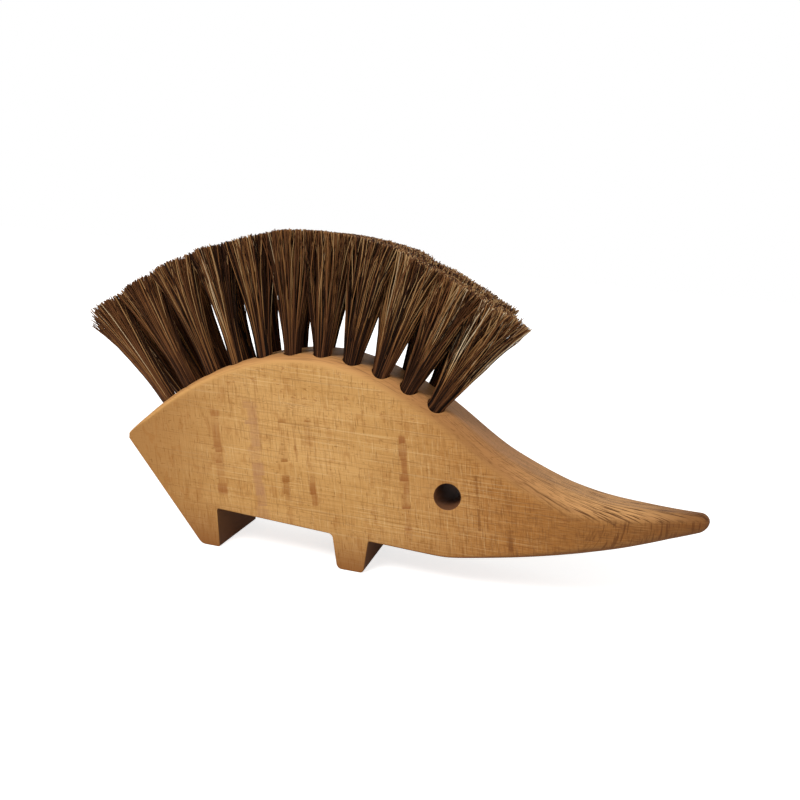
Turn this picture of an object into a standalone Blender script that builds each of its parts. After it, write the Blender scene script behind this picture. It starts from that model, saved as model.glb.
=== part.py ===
"""Crumb brush shaped like a hedgehog: a block of oiled beech, sawn to the animal's side view and rounded
over, with two rows of horsehair tufts set in drilled holes along its arched back.

The brush stands on its two feet with the nose towards +X, +Y into its depth and +Z up. Lengths are in
metres. Places along the body are measured from the tail, or back from the nose tip, and heights from the
table. The world origin lies on the table under the middle of the whole brush.

Pieces: the block, twenty-two tufts, and the flat wire anchor that holds each tuft down in its hole.
"""

import math

import bmesh
import bpy
import numpy as np
from mathutils import Vector

# Clearances
FIT_GAP = 0.0003  # between pieces that touch on the real brush
CUT_MARGIN = 0.002  # how far a cutter reaches past what it cuts

# The block of beech
BODY_LENGTH = 0.1695  # tail to nose tip
BODY_THICKNESS = 0.027

# Rounding between the back and the two sides, which widens from the tail to the head
TAIL_EDGE_RADIUS = 0.0012
RUMP_EDGE_RADIUS = 0.0026
SHOULDER_EDGE_RADIUS = 0.0036
CROWN_EDGE_RADIUS = 0.0044
NECK_EDGE_RADIUS = 0.0072
HEAD_EDGE_RADIUS = 0.0078

# The back, from the tail to the neck
TAIL_HEIGHT = 0.0311
TAIL_FLAT = 0.0017  # the blunt upright end of the tail
RUMP_AT, RUMP_HEIGHT = 0.0087, 0.0402
SHOULDER_AT, SHOULDER_HEIGHT = 0.0276, 0.0537
CROWN_AT, CROWN_HEIGHT = 0.0575, 0.0614
NECK_AT, NECK_HEIGHT = 0.0895, 0.0532

# The upper line of the head, from the nose tip back
BROW_FROM_TIP, BROW_HEIGHT = 0.0545, 0.0379
BRIDGE_FROM_TIP, BRIDGE_HEIGHT = 0.0300, 0.0299
NOSE_TOP_HEIGHT = 0.0295

# The lower line of the head
CHIN_FROM_TIP, CHIN_HEIGHT = 0.0695, 0.0089
JAW_FROM_TIP, JAW_HEIGHT = 0.0410, 0.0141
NOSE_UNDER_HEIGHT = 0.0250
CHIN_EDGE_RADIUS = 0.0008  # the underside's edges are nearly sharp at the chin
NOSE_EDGE_RADIUS = 0.0036  # and well rounded along the nose

# The plan view of the nose
NOSE_TIP_HALF_WIDTH = 0.0022
NOSE_HALF_TAPER = 0.31  # half width gained for each metre back from the tip
NOSE_TAPER_BLEND = 0.002  # how softly the taper runs into the flat sides
NOSE_DOME = 0.0024  # length of the rounded end

# Feet and belly, seen from the side
HEEL_AT, HEEL_RADIUS = 0.0255, 0.0030
REAR_FOOT_END = 0.0315
BELLY_START, BELLY_START_HEIGHT = 0.0299, 0.0119
BELLY_END, BELLY_END_HEIGHT = 0.0663, 0.0102
FRONT_FOOT_START, FRONT_FOOT_START_RADIUS = 0.0686, 0.0018
FRONT_FOOT_END, FRONT_FOOT_END_RADIUS = 0.0766, 0.0012
THROAT_AT, THROAT_HEIGHT = 0.0773, 0.0099
FOOT_ROOT_RADIUS = 0.0016  # where the front foot's leading side meets the belly
SAW_CORNER_RADIUS = 0.0005  # every other corner that the saw leaves

# The eye, drilled right through
EYE_DIAMETER = 0.0076
EYE_AT, EYE_HEIGHT = 0.0987, 0.0269

# Tuft holes
TUFTS_PER_ROW = 11
FIRST_TUFT_AT = 0.0107
TAIL_TUFT_PITCH, HEAD_TUFT_PITCH = 0.0085, 0.0092  # along the back, growing evenly to the head
ROW_SPACING = 0.0172
BACK_ROW_SETBACK = 0.0043  # along the back towards the tail, so that the rows stand staggered
HOLE_DIAMETER = 0.0055
HOLE_DEPTH = 0.0105
DRILL_POINT = 0.0012  # depth of the cone that the drill leaves
FAN_CENTRE_AT, FAN_CENTRE_BELOW = 0.0551, 0.0101  # every hole points at this centre, below the table

# Tufts
STRANDS_PER_TUFT = 20
TUFT_COLLAR = 0.0010  # how far the bundle stands out of its hole before it opens
BUNDLE_SLACK = 0.0002  # the outer hairs' distance inside the bundle's rim
TUFT_TIP_RADIUS = 0.0064
STRAND_ROOT_RADIUS, STRAND_TIP_RADIUS = 0.00030, 0.00042
STRAND_SINK = 0.0006  # how deep a strand is fused into its bundle
TRIM_CENTRE_AT, TRIM_CENTRE_BELOW = 0.0555, 0.0002  # the hair is trimmed to an arc about this centre
TRIM_RADIUS = 0.0959

# Anchors
ANCHOR_THICKNESS = 0.0004
ANCHOR_HEIGHT = 0.0018
ANCHOR_ABOVE_BUNDLE_END = 0.0012  # hair that folds under the anchor

# Facets
BODY_STATION_STEP = 0.0042
TAIL_STATIONS = 3
DOME_STATIONS = 5
BACK_EDGE_STEPS = 5
UNDER_EDGE_STEPS = 3
FILLET_STEPS = 4
HOLE_SIDES = 20
BUNDLE_SIDES = 14
EYE_SIDES = 36
BACK_SAMPLES = 2000

GOLDEN_ANGLE = math.pi * (3.0 - math.sqrt(5.0))
HALF_THICKNESS = BODY_THICKNESS / 2
BUNDLE_RADIUS = HOLE_DIAMETER / 2 - FIT_GAP


def srgb(hex_colour):
    """An sRGB hex colour as the linear RGBA that a shader takes."""
    channels = [int(hex_colour[i:i + 2], 16) / 255 for i in (0, 2, 4)]
    linear = [c / 12.92 if c <= 0.04045 else ((c + 0.055) / 1.055) ** 2.4 for c in channels]
    return (*linear, 1.0)


def make_material(name, hex_colour, roughness, metallic=0.0):
    material = bpy.data.materials.new(name)
    material.use_nodes = True
    shader = material.node_tree.nodes["Principled BSDF"]
    shader.inputs["Base Color"].default_value = srgb(hex_colour)
    shader.inputs["Roughness"].default_value = roughness
    shader.inputs["Metallic"].default_value = metallic
    material.diffuse_color = srgb(hex_colour)
    return material


def make_collection(name):
    collection = bpy.data.collections.new(name)
    bpy.context.scene.collection.children.link(collection)
    return collection


def add_object(name, data, collection, parent=None, material=None):
    """A new object in the collection, with its parent and material set."""
    made = bpy.data.objects.new(name, data)
    collection.objects.link(made)
    made.parent = parent
    if material:
        made.data.materials.append(material)
    return made


def add_cutter(name, data, collection, parent):
    cutter = add_object(name, data, collection, parent)
    cutter.hide_render = True
    cutter.display_type = "WIRE"
    return cutter


def add_boolean(target, operation, cutter=None, cutters=None):
    """A Boolean on the target, with one object or a whole collection."""
    modifier = target.modifiers.new(operation.lower(), "BOOLEAN")
    modifier.operation = operation
    modifier.solver = "EXACT"
    if cutters:
        modifier.operand_type = "COLLECTION"
        modifier.collection = cutters
    else:
        modifier.object = cutter
    return modifier


def mesh_from(build, name):
    """A mesh filled by build(bm), with its normals facing out."""
    bm = bmesh.new()
    build(bm)
    bmesh.ops.recalc_face_normals(bm, faces=bm.faces)
    mesh = bpy.data.meshes.new(name)
    bm.to_mesh(mesh)
    bm.free()
    return mesh


def smooth(mesh, sharp_degrees=30.0):
    mesh.shade_smooth()
    mesh.set_sharp_from_angle(angle=math.radians(sharp_degrees))


def curve_through(knots, at):
    """Heights at the given places on a smooth curve through (place, height) knots: a cubic between each
    pair, whose slope at a knot is the mean of its two neighbours' slopes, weighted by their nearness."""
    places, heights = np.array(knots).T
    runs = np.diff(places)
    slopes = np.diff(heights) / runs
    inner = (slopes[:-1] * runs[1:] + slopes[1:] * runs[:-1]) / (runs[:-1] + runs[1:])
    tangents = np.concatenate([[2 * slopes[0] - inner[0]], inner, [2 * slopes[-1] - inner[-1]]])
    at = np.asarray(at, float)
    i = np.clip(np.searchsorted(places, at) - 1, 0, len(runs) - 1)
    t = (at - places[i]) / runs[i]
    start = (2 * t**3 - 3 * t**2 + 1) * heights[i] + (t**3 - 2 * t**2 + t) * runs[i] * tangents[i]
    end = (3 * t**2 - 2 * t**3) * heights[i + 1] + (t**3 - t**2) * runs[i] * tangents[i + 1]
    return start + end


def back_height(x):
    """Height of the back and the top of the nose at a distance from the tail."""
    knots = [
        (0.0, TAIL_HEIGHT),
        (RUMP_AT, RUMP_HEIGHT),
        (SHOULDER_AT, SHOULDER_HEIGHT),
        (CROWN_AT, CROWN_HEIGHT),
        (NECK_AT, NECK_HEIGHT),
        (BODY_LENGTH - BROW_FROM_TIP, BROW_HEIGHT),
        (BODY_LENGTH - BRIDGE_FROM_TIP, BRIDGE_HEIGHT),
        (BODY_LENGTH, NOSE_TOP_HEIGHT),
    ]
    return curve_through(knots, x)


def under_height(x):
    """Height of the head's underside. Behind the chin it dives below the table, where the saw takes over."""
    chin = BODY_LENGTH - CHIN_FROM_TIP
    knots = [
        (chin, CHIN_HEIGHT),
        (BODY_LENGTH - JAW_FROM_TIP, JAW_HEIGHT),
        (BODY_LENGTH, NOSE_UNDER_HEIGHT),
    ]
    throat = min(THROAT_AT, chin - CUT_MARGIN)
    dive = ((chin - np.minimum(x, chin)) / (chin - throat)) ** 3 * (CHIN_HEIGHT + CUT_MARGIN)
    head = curve_through(knots, np.maximum(x, chin))
    return np.maximum(head - dive, -CUT_MARGIN)


def half_width(x):
    """Half the body's width: the flat sides, blended into the nose's taper by a soft minimum."""
    taper = NOSE_TIP_HALF_WIDTH + NOSE_HALF_TAPER * (BODY_LENGTH - x)
    return -NOSE_TAPER_BLEND * np.logaddexp(-HALF_THICKNESS / NOSE_TAPER_BLEND, -taper / NOSE_TAPER_BLEND)


def back_edge_radius(x):
    """Rounding of the back's edges at a distance from the tail, on a smooth curve through named places."""
    knots = [
        (0.0, TAIL_EDGE_RADIUS),
        (RUMP_AT, RUMP_EDGE_RADIUS),
        (SHOULDER_AT, SHOULDER_EDGE_RADIUS),
        (CROWN_AT, CROWN_EDGE_RADIUS),
        (NECK_AT, NECK_EDGE_RADIUS),
        (BODY_LENGTH - BROW_FROM_TIP, HEAD_EDGE_RADIUS),
        (BODY_LENGTH, HEAD_EDGE_RADIUS),
    ]
    return float(curve_through(knots, max(x, 0.0)))


def under_edge_radius(x):
    """Rounding of the underside's edges, growing from the chin to the start of the nose's bridge."""
    chin = BODY_LENGTH - CHIN_FROM_TIP
    bridge = BODY_LENGTH - BRIDGE_FROM_TIP
    share = min(max((x - chin) / (bridge - chin), 0.0), 1.0)
    return CHIN_EDGE_RADIUS + (NOSE_EDGE_RADIUS - CHIN_EDGE_RADIUS) * share


def body_section(x):
    """Points round the body's cross-section at a distance from the tail: a rectangle with its upper and
    lower corners rounded, drawn in towards its middle over the nose's domed end."""
    high, low, half = float(back_height(x)), float(under_height(x)), float(half_width(x))
    middle = (high + low) / 2
    most_radius = 0.94 * min(half, (high - low) / 2)
    corners = (
        (1, 1, min(back_edge_radius(x), most_radius), BACK_EDGE_STEPS, 0.0),
        (-1, 1, min(back_edge_radius(x), most_radius), BACK_EDGE_STEPS, 90.0),
        (-1, -1, min(under_edge_radius(x), most_radius), UNDER_EDGE_STEPS, 180.0),
        (1, -1, min(under_edge_radius(x), most_radius), UNDER_EDGE_STEPS, 270.0),
    )
    into_dome = max(x - (BODY_LENGTH - NOSE_DOME), 0.0) / NOSE_DOME
    shrink = math.sqrt(max(1.0 - into_dome**2, 0.0))
    points = []
    for side, end, radius, steps, first in corners:
        centre_y = side * (half - radius)
        centre_z = (high if end > 0 else low) - end * radius
        for step in range(steps + 1):
            angle = math.radians(first + 90.0 * step / steps)
            y = centre_y + radius * math.cos(angle)
            z = centre_z + radius * math.sin(angle)
            points.append(Vector((x, y * shrink, middle + (z - middle) * shrink)))
    return points


def body_stations():
    """Where the sections stand: before the tail for the saw to trim, along the body, and over the dome."""
    dome_start = BODY_LENGTH - NOSE_DOME
    tail = -CUT_MARGIN * np.linspace(1.0, 0.0, TAIL_STATIONS, endpoint=False)
    along = np.linspace(0.0, dome_start, math.ceil(dome_start / BODY_STATION_STEP), endpoint=False)
    turn = np.linspace(0.0, math.pi / 2, DOME_STATIONS + 1)[:-1]
    dome = dome_start + NOSE_DOME * np.sin(turn)
    return np.concatenate([tail, along, dome])


def build_body_loft(bm):
    """The rounded block: a loft through the sections, flat at the tail and closed to a point at the tip."""
    rings = [[bm.verts.new(point) for point in body_section(x)] for x in body_stations()]
    around = len(rings[0])
    for ring, following in zip(rings, rings[1:]):
        for i in range(around):
            j = (i + 1) % around
            bm.faces.new((ring[i], ring[j], following[j], following[i]))
    bm.faces.new(rings[0])
    tip_height = float(back_height(BODY_LENGTH) + under_height(BODY_LENGTH)) / 2
    tip = bm.verts.new((BODY_LENGTH, 0.0, tip_height))
    for i in range(around):
        bm.faces.new((rings[-1][i], rings[-1][(i + 1) % around], tip))


def fillet(before, corner, after, radius):
    """Points of the arc that rounds the corner of an outline, or the corner itself where radius is 0."""
    if radius == 0.0:
        return [corner]
    back, on = (before - corner).normalized(), (after - corner).normalized()
    half_angle = back.angle(on) / 2
    reach = min(radius / math.tan(half_angle), (before - corner).length / 2, (after - corner).length / 2)
    centre = corner + (back + on).normalized() * (reach / math.cos(half_angle))
    start, end = corner + back * reach - centre, corner + on * reach - centre
    turn = start.angle_signed(end)
    return [centre + rotated(start, turn * i / FILLET_STEPS) for i in range(FILLET_STEPS + 1)]


def rotated(vector, clockwise):
    """The 2D vector turned clockwise, the sense in which angle_signed counts."""
    c, s = math.cos(clockwise), math.sin(clockwise)
    return Vector((vector.x * c + vector.y * s, vector.y * c - vector.x * s))


def waste_outline():
    """The side view of the wood that the saw takes off: behind the tail, under the soles, between the feet
    and under the chin. It comes as (distance from the tail, height) points."""
    out = CUT_MARGIN
    chin = BODY_LENGTH - CHIN_FROM_TIP
    corners = [
        (-2 * out, TAIL_HEIGHT + out, 0.0),
        (0.0, TAIL_HEIGHT + out, 0.0),
        (0.0, TAIL_HEIGHT - TAIL_FLAT, SAW_CORNER_RADIUS),
        (HEEL_AT, 0.0, HEEL_RADIUS),
        (REAR_FOOT_END, 0.0, SAW_CORNER_RADIUS),
        (BELLY_START, BELLY_START_HEIGHT, SAW_CORNER_RADIUS),
        (BELLY_END, BELLY_END_HEIGHT, FOOT_ROOT_RADIUS),
        (FRONT_FOOT_START, 0.0, FRONT_FOOT_START_RADIUS),
        (FRONT_FOOT_END, 0.0, FRONT_FOOT_END_RADIUS),
        (THROAT_AT, THROAT_HEIGHT, SAW_CORNER_RADIUS),
        (chin, CHIN_HEIGHT, 0.0),
        (chin + out, CHIN_HEIGHT - out, 0.0),
        (chin + out, -3 * out, 0.0),
        (-2 * out, -3 * out, 0.0),
    ]
    points = [Vector(corner[:2]) for corner in corners]
    outline = []
    for i, corner in enumerate(corners):
        outline += fillet(points[i - 1], points[i], points[(i + 1) % len(points)], corner[2])
    return outline


def make_waste_cutter(collection, parent):
    """The saw's waste as a solid: its outline as a flat curve, given depth and turned upright."""
    curve = bpy.data.curves.new("saw_waste_outline", "CURVE")
    curve.dimensions = "2D"
    curve.fill_mode = "BOTH"
    curve.extrude = HALF_THICKNESS + CUT_MARGIN
    outline = waste_outline()
    spline = curve.splines.new("POLY")
    spline.points.add(len(outline) - 1)
    for point, place in zip(spline.points, outline):
        point.co = (place.x, place.y, 0.0, 1.0)
    spline.use_cyclic_u = True
    return solid_from_curve("saw_waste", curve, collection, parent)


def solid_from_curve(name, curve, collection, parent):
    """The curve's solid as a cutter, with its loose caps welded, standing in the XZ plane."""
    guide = add_object(name + "_curve", curve, collection)
    graph = bpy.context.evaluated_depsgraph_get()
    mesh = bpy.data.meshes.new_from_object(guide.evaluated_get(graph))
    bpy.data.objects.remove(guide)
    bm = bmesh.new()
    bm.from_mesh(mesh)
    bmesh.ops.remove_doubles(bm, verts=bm.verts, dist=1e-6)
    bmesh.ops.recalc_face_normals(bm, faces=bm.faces)
    bm.to_mesh(mesh)
    bm.free()
    cutter = add_cutter(name, mesh, collection, parent)
    cutter.rotation_euler = (math.pi / 2, 0.0, 0.0)
    return cutter


def tuft_seats(side):
    """Places of the tufts in the row on that side, the front one being -1 and the back one 1: each as
    (distance from the tail, height, lean towards the nose)."""
    x = np.linspace(0.0, BODY_LENGTH, BACK_SAMPLES)
    z = back_height(x)
    travelled = np.concatenate([[0.0], np.cumsum(np.hypot(np.diff(x), np.diff(z)))])
    first = np.interp(FIRST_TUFT_AT, x, travelled) - (BACK_ROW_SETBACK if side > 0 else 0.0)
    pitches = np.linspace(TAIL_TUFT_PITCH, HEAD_TUFT_PITCH, TUFTS_PER_ROW - 1)
    places = np.interp(first + np.append(0.0, np.cumsum(pitches)), travelled, x)
    heights = back_height(places)
    leans = np.arctan2(places - FAN_CENTRE_AT, heights + FAN_CENTRE_BELOW)
    return list(zip(places, heights, leans))


def strand_roots():
    """Root places in a bundle: a sunflower spiral, which spaces any number of strands evenly."""
    i = np.arange(STRANDS_PER_TUFT)
    most = BUNDLE_RADIUS - BUNDLE_SLACK - STRAND_ROOT_RADIUS
    radius = most * np.sqrt((i + 0.5) / STRANDS_PER_TUFT)
    return np.stack([radius * np.cos(i * GOLDEN_ANGLE), radius * np.sin(i * GOLDEN_ANGLE)], axis=1)


def strand_lines(seat):
    """Roots and tips of a tuft's strands, in the tuft's own frame: Z out along the hole, Y across the
    brush. Every strand runs straight from its root to the same place in a wider bundle, so none cross,
    and it ends where it meets the arc that the hair is trimmed to."""
    at, height, lean = seat
    roots = strand_roots()
    spread = TUFT_TIP_RADIUS / (BUNDLE_RADIUS - BUNDLE_SLACK)
    nominal = TRIM_RADIUS - math.hypot(at - TRIM_CENTRE_AT, height + TRIM_CENTRE_BELOW)
    slope = roots * (spread - 1.0) / (nominal - TUFT_COLLAR)
    start = np.column_stack([roots, np.full(len(roots), TUFT_COLLAR)])
    course = np.column_stack([slope, np.ones(len(roots))])
    out = np.array([math.sin(lean), math.cos(lean)])
    along = np.array([math.cos(lean), -math.sin(lean)])
    centre = np.array([at - TRIM_CENTRE_AT, height + TRIM_CENTRE_BELOW])
    place = centre + start[:, :1] * along + start[:, 2:] * out
    step = course[:, :1] * along + course[:, 2:] * out
    a, b, c = (step**2).sum(1), (place * step).sum(1), (place**2).sum(1) - TRIM_RADIUS**2
    run = (-b + np.sqrt(b**2 - a * c)) / a
    return start, start + course * run[:, None]


def build_strands(bm, seat):
    """A tuft's strands as three-sided tapering rods."""
    for root, tip in zip(*strand_lines(seat)):
        axis = Vector(tip - root).normalized()
        foot = Vector(root) - axis * STRAND_SINK
        length = (Vector(tip) - foot).length
        made = bmesh.ops.create_cone(
            bm, cap_ends=True, segments=3, radius1=STRAND_ROOT_RADIUS, radius2=STRAND_TIP_RADIUS, depth=length
        )
        turn = Vector((0.0, 0.0, 1.0)).rotation_difference(axis)
        bmesh.ops.rotate(bm, cent=(0.0, 0.0, 0.0), matrix=turn.to_matrix(), verts=made["verts"])
        bmesh.ops.translate(bm, vec=foot + axis * (length / 2), verts=made["verts"])


def build_bundle(bm):
    """The gathered foot of a tuft: a cylinder from the bottom of the hole to just outside its mouth."""
    bottom = -HOLE_DEPTH + FIT_GAP
    height = TUFT_COLLAR - bottom
    bmesh.ops.create_cone(
        bm, cap_ends=True, segments=BUNDLE_SIDES, radius1=BUNDLE_RADIUS, radius2=BUNDLE_RADIUS, depth=height
    )
    bmesh.ops.translate(bm, vec=(0.0, 0.0, bottom + height / 2), verts=bm.verts)


def anchor_middle():
    """Height of an anchor's middle in its tuft's frame."""
    return -HOLE_DEPTH + FIT_GAP + ANCHOR_ABOVE_BUNDLE_END + ANCHOR_HEIGHT / 2


def build_box(bm, size, middle_height):
    made = bmesh.ops.create_cube(bm, size=1.0)
    bmesh.ops.scale(bm, vec=size, verts=made["verts"])
    bmesh.ops.translate(bm, vec=(0.0, 0.0, middle_height), verts=made["verts"])


def build_anchor(bm):
    """A flat piece of wire across the hole, which the tuft is folded over."""
    length = 2 * (BUNDLE_RADIUS - FIT_GAP)
    build_box(bm, (ANCHOR_THICKNESS, length, ANCHOR_HEIGHT), anchor_middle())


def build_anchor_window(bm):
    """The fold in a tuft's foot that its anchor lies in, cut right across the bundle."""
    size = (ANCHOR_THICKNESS + 2 * FIT_GAP, HOLE_DIAMETER + CUT_MARGIN, ANCHOR_HEIGHT + 2 * FIT_GAP)
    build_box(bm, size, anchor_middle())


def make_drill_mesh():
    """The drill's sweep as a profile to be turned: straight sides down to a shallow cone."""
    profile = [
        (0.0, CUT_MARGIN + TUFT_COLLAR),
        (HOLE_DIAMETER / 2, CUT_MARGIN + TUFT_COLLAR),
        (HOLE_DIAMETER / 2, -HOLE_DEPTH),
        (0.0, -HOLE_DEPTH - DRILL_POINT),
    ]
    mesh = bpy.data.meshes.new("drill_profile")
    mesh.from_pydata([(x, 0.0, z) for x, z in profile], [(i, i + 1) for i in range(len(profile) - 1)], [])
    return mesh


def add_turning(target, steps):
    """A Screw that turns the target's profile once round Z."""
    screw = target.modifiers.new("turn", "SCREW")
    screw.steps = screw.render_steps = steps
    screw.use_merge_vertices = True
    screw.merge_threshold = 1e-5
    screw.use_smooth_shade = True
    return screw


def build_eye_cutter(bm):
    bmesh.ops.create_cone(
        bm,
        cap_ends=True,
        segments=EYE_SIDES,
        radius1=EYE_DIAMETER / 2,
        radius2=EYE_DIAMETER / 2,
        depth=BODY_THICKNESS + 2 * CUT_MARGIN,
    )


def place_on_back(target, seat, side):
    """Puts an object modelled in a tuft's frame on its seat, in the row on that side."""
    at, height, lean = seat
    target.location = (at, side * ROW_SPACING / 2, height)
    target.rotation_euler = (0.0, lean, 0.0)


def make_tuft(name, seat, side, parts, cutters, window, parent, material):
    """One tuft: its bundle, the window for its anchor, and its strands fused on."""
    tuft = add_object(name, mesh_from(build_bundle, name), parts, parent, material)
    place_on_back(tuft, seat, side)
    strand_mesh = mesh_from(lambda bm: build_strands(bm, seat), name + "_strands")
    strands = add_cutter(name + "_strands", strand_mesh, cutters, tuft)
    fold = add_cutter(name + "_fold", window, cutters, tuft)
    add_boolean(tuft, "UNION", strands)
    add_boolean(tuft, "DIFFERENCE", fold)
    smooth(tuft.data, 50.0)


def rear_reach():
    """How far the hair reaches behind the tail, at the strand that reaches furthest."""
    least = 0.0
    for at, height, lean in tuft_seats(-1) + tuft_seats(1):
        tips = strand_lines((at, height, lean))[1]
        x = at + tips[:, 0] * math.cos(lean) + tips[:, 2] * math.sin(lean)
        least = min(least, float(x.min()) - STRAND_TIP_RADIUS)
    return least


def make_body(parts, cutters, drill_cutters, parent, material):
    """The block: lofted round, sawn to its side view, then drilled for the eye and the tufts."""
    body = add_object("body", mesh_from(build_body_loft, "body"), parts, parent, material)
    add_boolean(body, "DIFFERENCE", make_waste_cutter(cutters, parent))
    eye = add_cutter("eye_drill", mesh_from(build_eye_cutter, "eye_drill"), cutters, parent)
    eye.location = (EYE_AT, 0.0, EYE_HEIGHT)
    eye.rotation_euler = (math.pi / 2, 0.0, 0.0)
    add_boolean(body, "DIFFERENCE", eye)
    add_boolean(body, "DIFFERENCE", cutters=drill_cutters)
    smooth(body.data)


def main():
    for old in list(bpy.data.objects):
        bpy.data.objects.remove(old)
    beech = make_material("oiled_beech", "C08A53", 0.5)
    hair = make_material("horsehair", "3E2A1D", 0.45)
    wire = make_material("anchor_steel", "9A9A98", 0.35, 1.0)
    parts = make_collection("crumb_brush")
    cutters = make_collection("cutters")
    drill_cutters = make_collection("drill_cutters")

    datum = bpy.data.objects.new("tail_datum", None)
    parts.objects.link(datum)
    datum.location = (-(BODY_LENGTH + rear_reach()) / 2, 0.0, 0.0)

    anchor_mesh = mesh_from(build_anchor, "anchor")
    anchor_mesh.materials.append(wire)
    window = mesh_from(build_anchor_window, "anchor_window")
    drill_mesh = make_drill_mesh()
    for row, side in (("front", -1), ("back", 1)):
        for number, seat in enumerate(tuft_seats(side), start=1):
            label = f"{row}_{number:02d}"
            drill = add_cutter(f"drill_{label}", drill_mesh, drill_cutters, datum)
            add_turning(drill, HOLE_SIDES)
            place_on_back(drill, seat, side)
            make_tuft(f"tuft_{label}", seat, side, parts, cutters, window, datum, hair)
            anchor = add_object(f"anchor_{label}", anchor_mesh, parts, datum)
            place_on_back(anchor, seat, side)
    make_body(parts, cutters, drill_cutters, datum, beech)


main()
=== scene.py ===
"""Dresses the crumb brush: a hedgehog of oiled beech with two rows of horsehair tufts along its back.

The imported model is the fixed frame. The block is built again as one smooth surface with softened edges, and
each CAD tuft is replaced by a tuft of fine hairs folded over its wire anchor. The anchors keep their
solids. Lengths are in metres. Places along the block are measured from its tail and heights from the table,
as a brush maker marks them on the board.
"""

import logging
import math
from collections.abc import Callable
from dataclasses import dataclass
from enum import Enum
from functools import partial
from typing import Any

import bmesh
import bpy
import numpy as np
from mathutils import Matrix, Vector


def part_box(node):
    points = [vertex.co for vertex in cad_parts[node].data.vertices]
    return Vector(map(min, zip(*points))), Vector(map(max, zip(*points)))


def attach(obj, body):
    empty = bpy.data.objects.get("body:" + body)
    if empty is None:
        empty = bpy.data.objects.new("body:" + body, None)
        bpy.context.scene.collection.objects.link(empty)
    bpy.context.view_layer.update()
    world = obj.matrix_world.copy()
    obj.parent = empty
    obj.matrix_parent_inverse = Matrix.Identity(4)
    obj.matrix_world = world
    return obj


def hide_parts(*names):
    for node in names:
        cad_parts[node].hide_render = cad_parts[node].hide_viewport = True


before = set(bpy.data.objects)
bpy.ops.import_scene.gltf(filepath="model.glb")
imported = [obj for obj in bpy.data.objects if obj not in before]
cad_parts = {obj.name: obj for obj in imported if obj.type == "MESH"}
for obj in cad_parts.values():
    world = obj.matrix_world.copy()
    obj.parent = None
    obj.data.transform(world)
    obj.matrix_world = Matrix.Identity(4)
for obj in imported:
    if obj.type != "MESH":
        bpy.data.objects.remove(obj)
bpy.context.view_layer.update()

log = logging.getLogger("crumb_brush")

Array = np.ndarray
Pair = tuple[float, float]
Triple = tuple[float, float, float]
Mesh = bpy.types.Mesh
Material = bpy.types.Material
Node = bpy.types.Node
Value = Node | bpy.types.NodeSocket | tuple | float  # what a node's input takes
Adder = Callable[..., Node]  # add_node for one tree

BODY = "root"
GOLDEN_ANGLE = math.pi * (3.0 - math.sqrt(5.0))
WELD = 1e-6  # points nearer than this are one point
MM = 0.001

TIMES = {"operation": "MULTIPLY"}
TIMES_PLUS = {"operation": "MULTIPLY_ADD"}
MINUS = {"operation": "SUBTRACT"}
EASED = {"interpolation_type": "SMOOTHSTEP"}
WHITE = (1.0, 1.0, 1.0, 1.0)


class Row(Enum):
    """The two rows of tufts, by the side of the block that they stand on."""

    FRONT = -1
    BACK = 1


def linear(hex_colour: str) -> tuple[float, float, float, float]:
    """Turns an sRGB hex colour into the linear RGBA that a shader takes.

    Args:
        hex_colour: Six hex digits, such as "C08A53".

    Returns:
        Red, green, blue and an alpha of 1.
    """
    channels = [int(hex_colour[i:i + 2], 16) / 255 for i in (0, 2, 4)]
    red, green, blue = (c / 12.92 if c <= 0.04045 else ((c + 0.055) / 1.055) ** 2.4 for c in channels)
    return red, green, blue, 1.0


def add_node(
    tree: bpy.types.NodeTree, kind: str, inputs: Any = (), settings: dict[str, Any] | None = None
) -> Node:
    """Adds a node to a tree with its settings and links.

    Args:
        tree: The node tree.
        kind: The node's type, without the leading "ShaderNode".
        inputs: Values to set or outputs to link, in the order of the inputs or by their name or number. A
            node stands for its first output.
        settings: Values for the node's own properties.

    Returns:
        The new node.
    """
    node = tree.nodes.new("ShaderNode" + kind)
    for name, value in (settings or {}).items():
        setattr(node, name, value)
    for key, value in inputs.items() if isinstance(inputs, dict) else enumerate(inputs):
        if isinstance(value, Node):
            value = value.outputs[0]
        if isinstance(value, bpy.types.NodeSocket):
            tree.links.new(value, node.inputs[key])
        else:
            node.inputs[key].default_value = value
    return node


def new_material(name: str) -> tuple[Material, Adder]:
    """A new material with an empty node tree, and what adds nodes to that tree."""
    material = bpy.data.materials.new(name)
    material.use_nodes = True
    material.node_tree.nodes.clear()
    return material, partial(add_node, material.node_tree)


def smooth_step(value: Array, low: float, high: float) -> Array:
    """Eases from 0 at low to 1 at high, as 3t^2 - 2t^3 with t the share of the way."""
    t = np.clip((value - low) / (high - low), 0.0, 1.0)
    return t * t * (3.0 - 2.0 * t)


def between(ends: Pair, share: Array | float) -> Array | float:
    """The value a share of the way from the first of two ends to the second."""
    return ends[0] + (ends[1] - ends[0]) * share


def unit(vectors: Array) -> Array:
    """Vectors, which lie along the last axis, brought to a length of 1."""
    return vectors / np.linalg.norm(vectors, axis=-1, keepdims=True)


def nearest(points: Array, others: Array) -> Array:
    """For each point, the number of the nearest of the others."""
    return np.linalg.norm(points[:, None] - others[None], axis=2).argmin(1)


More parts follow.
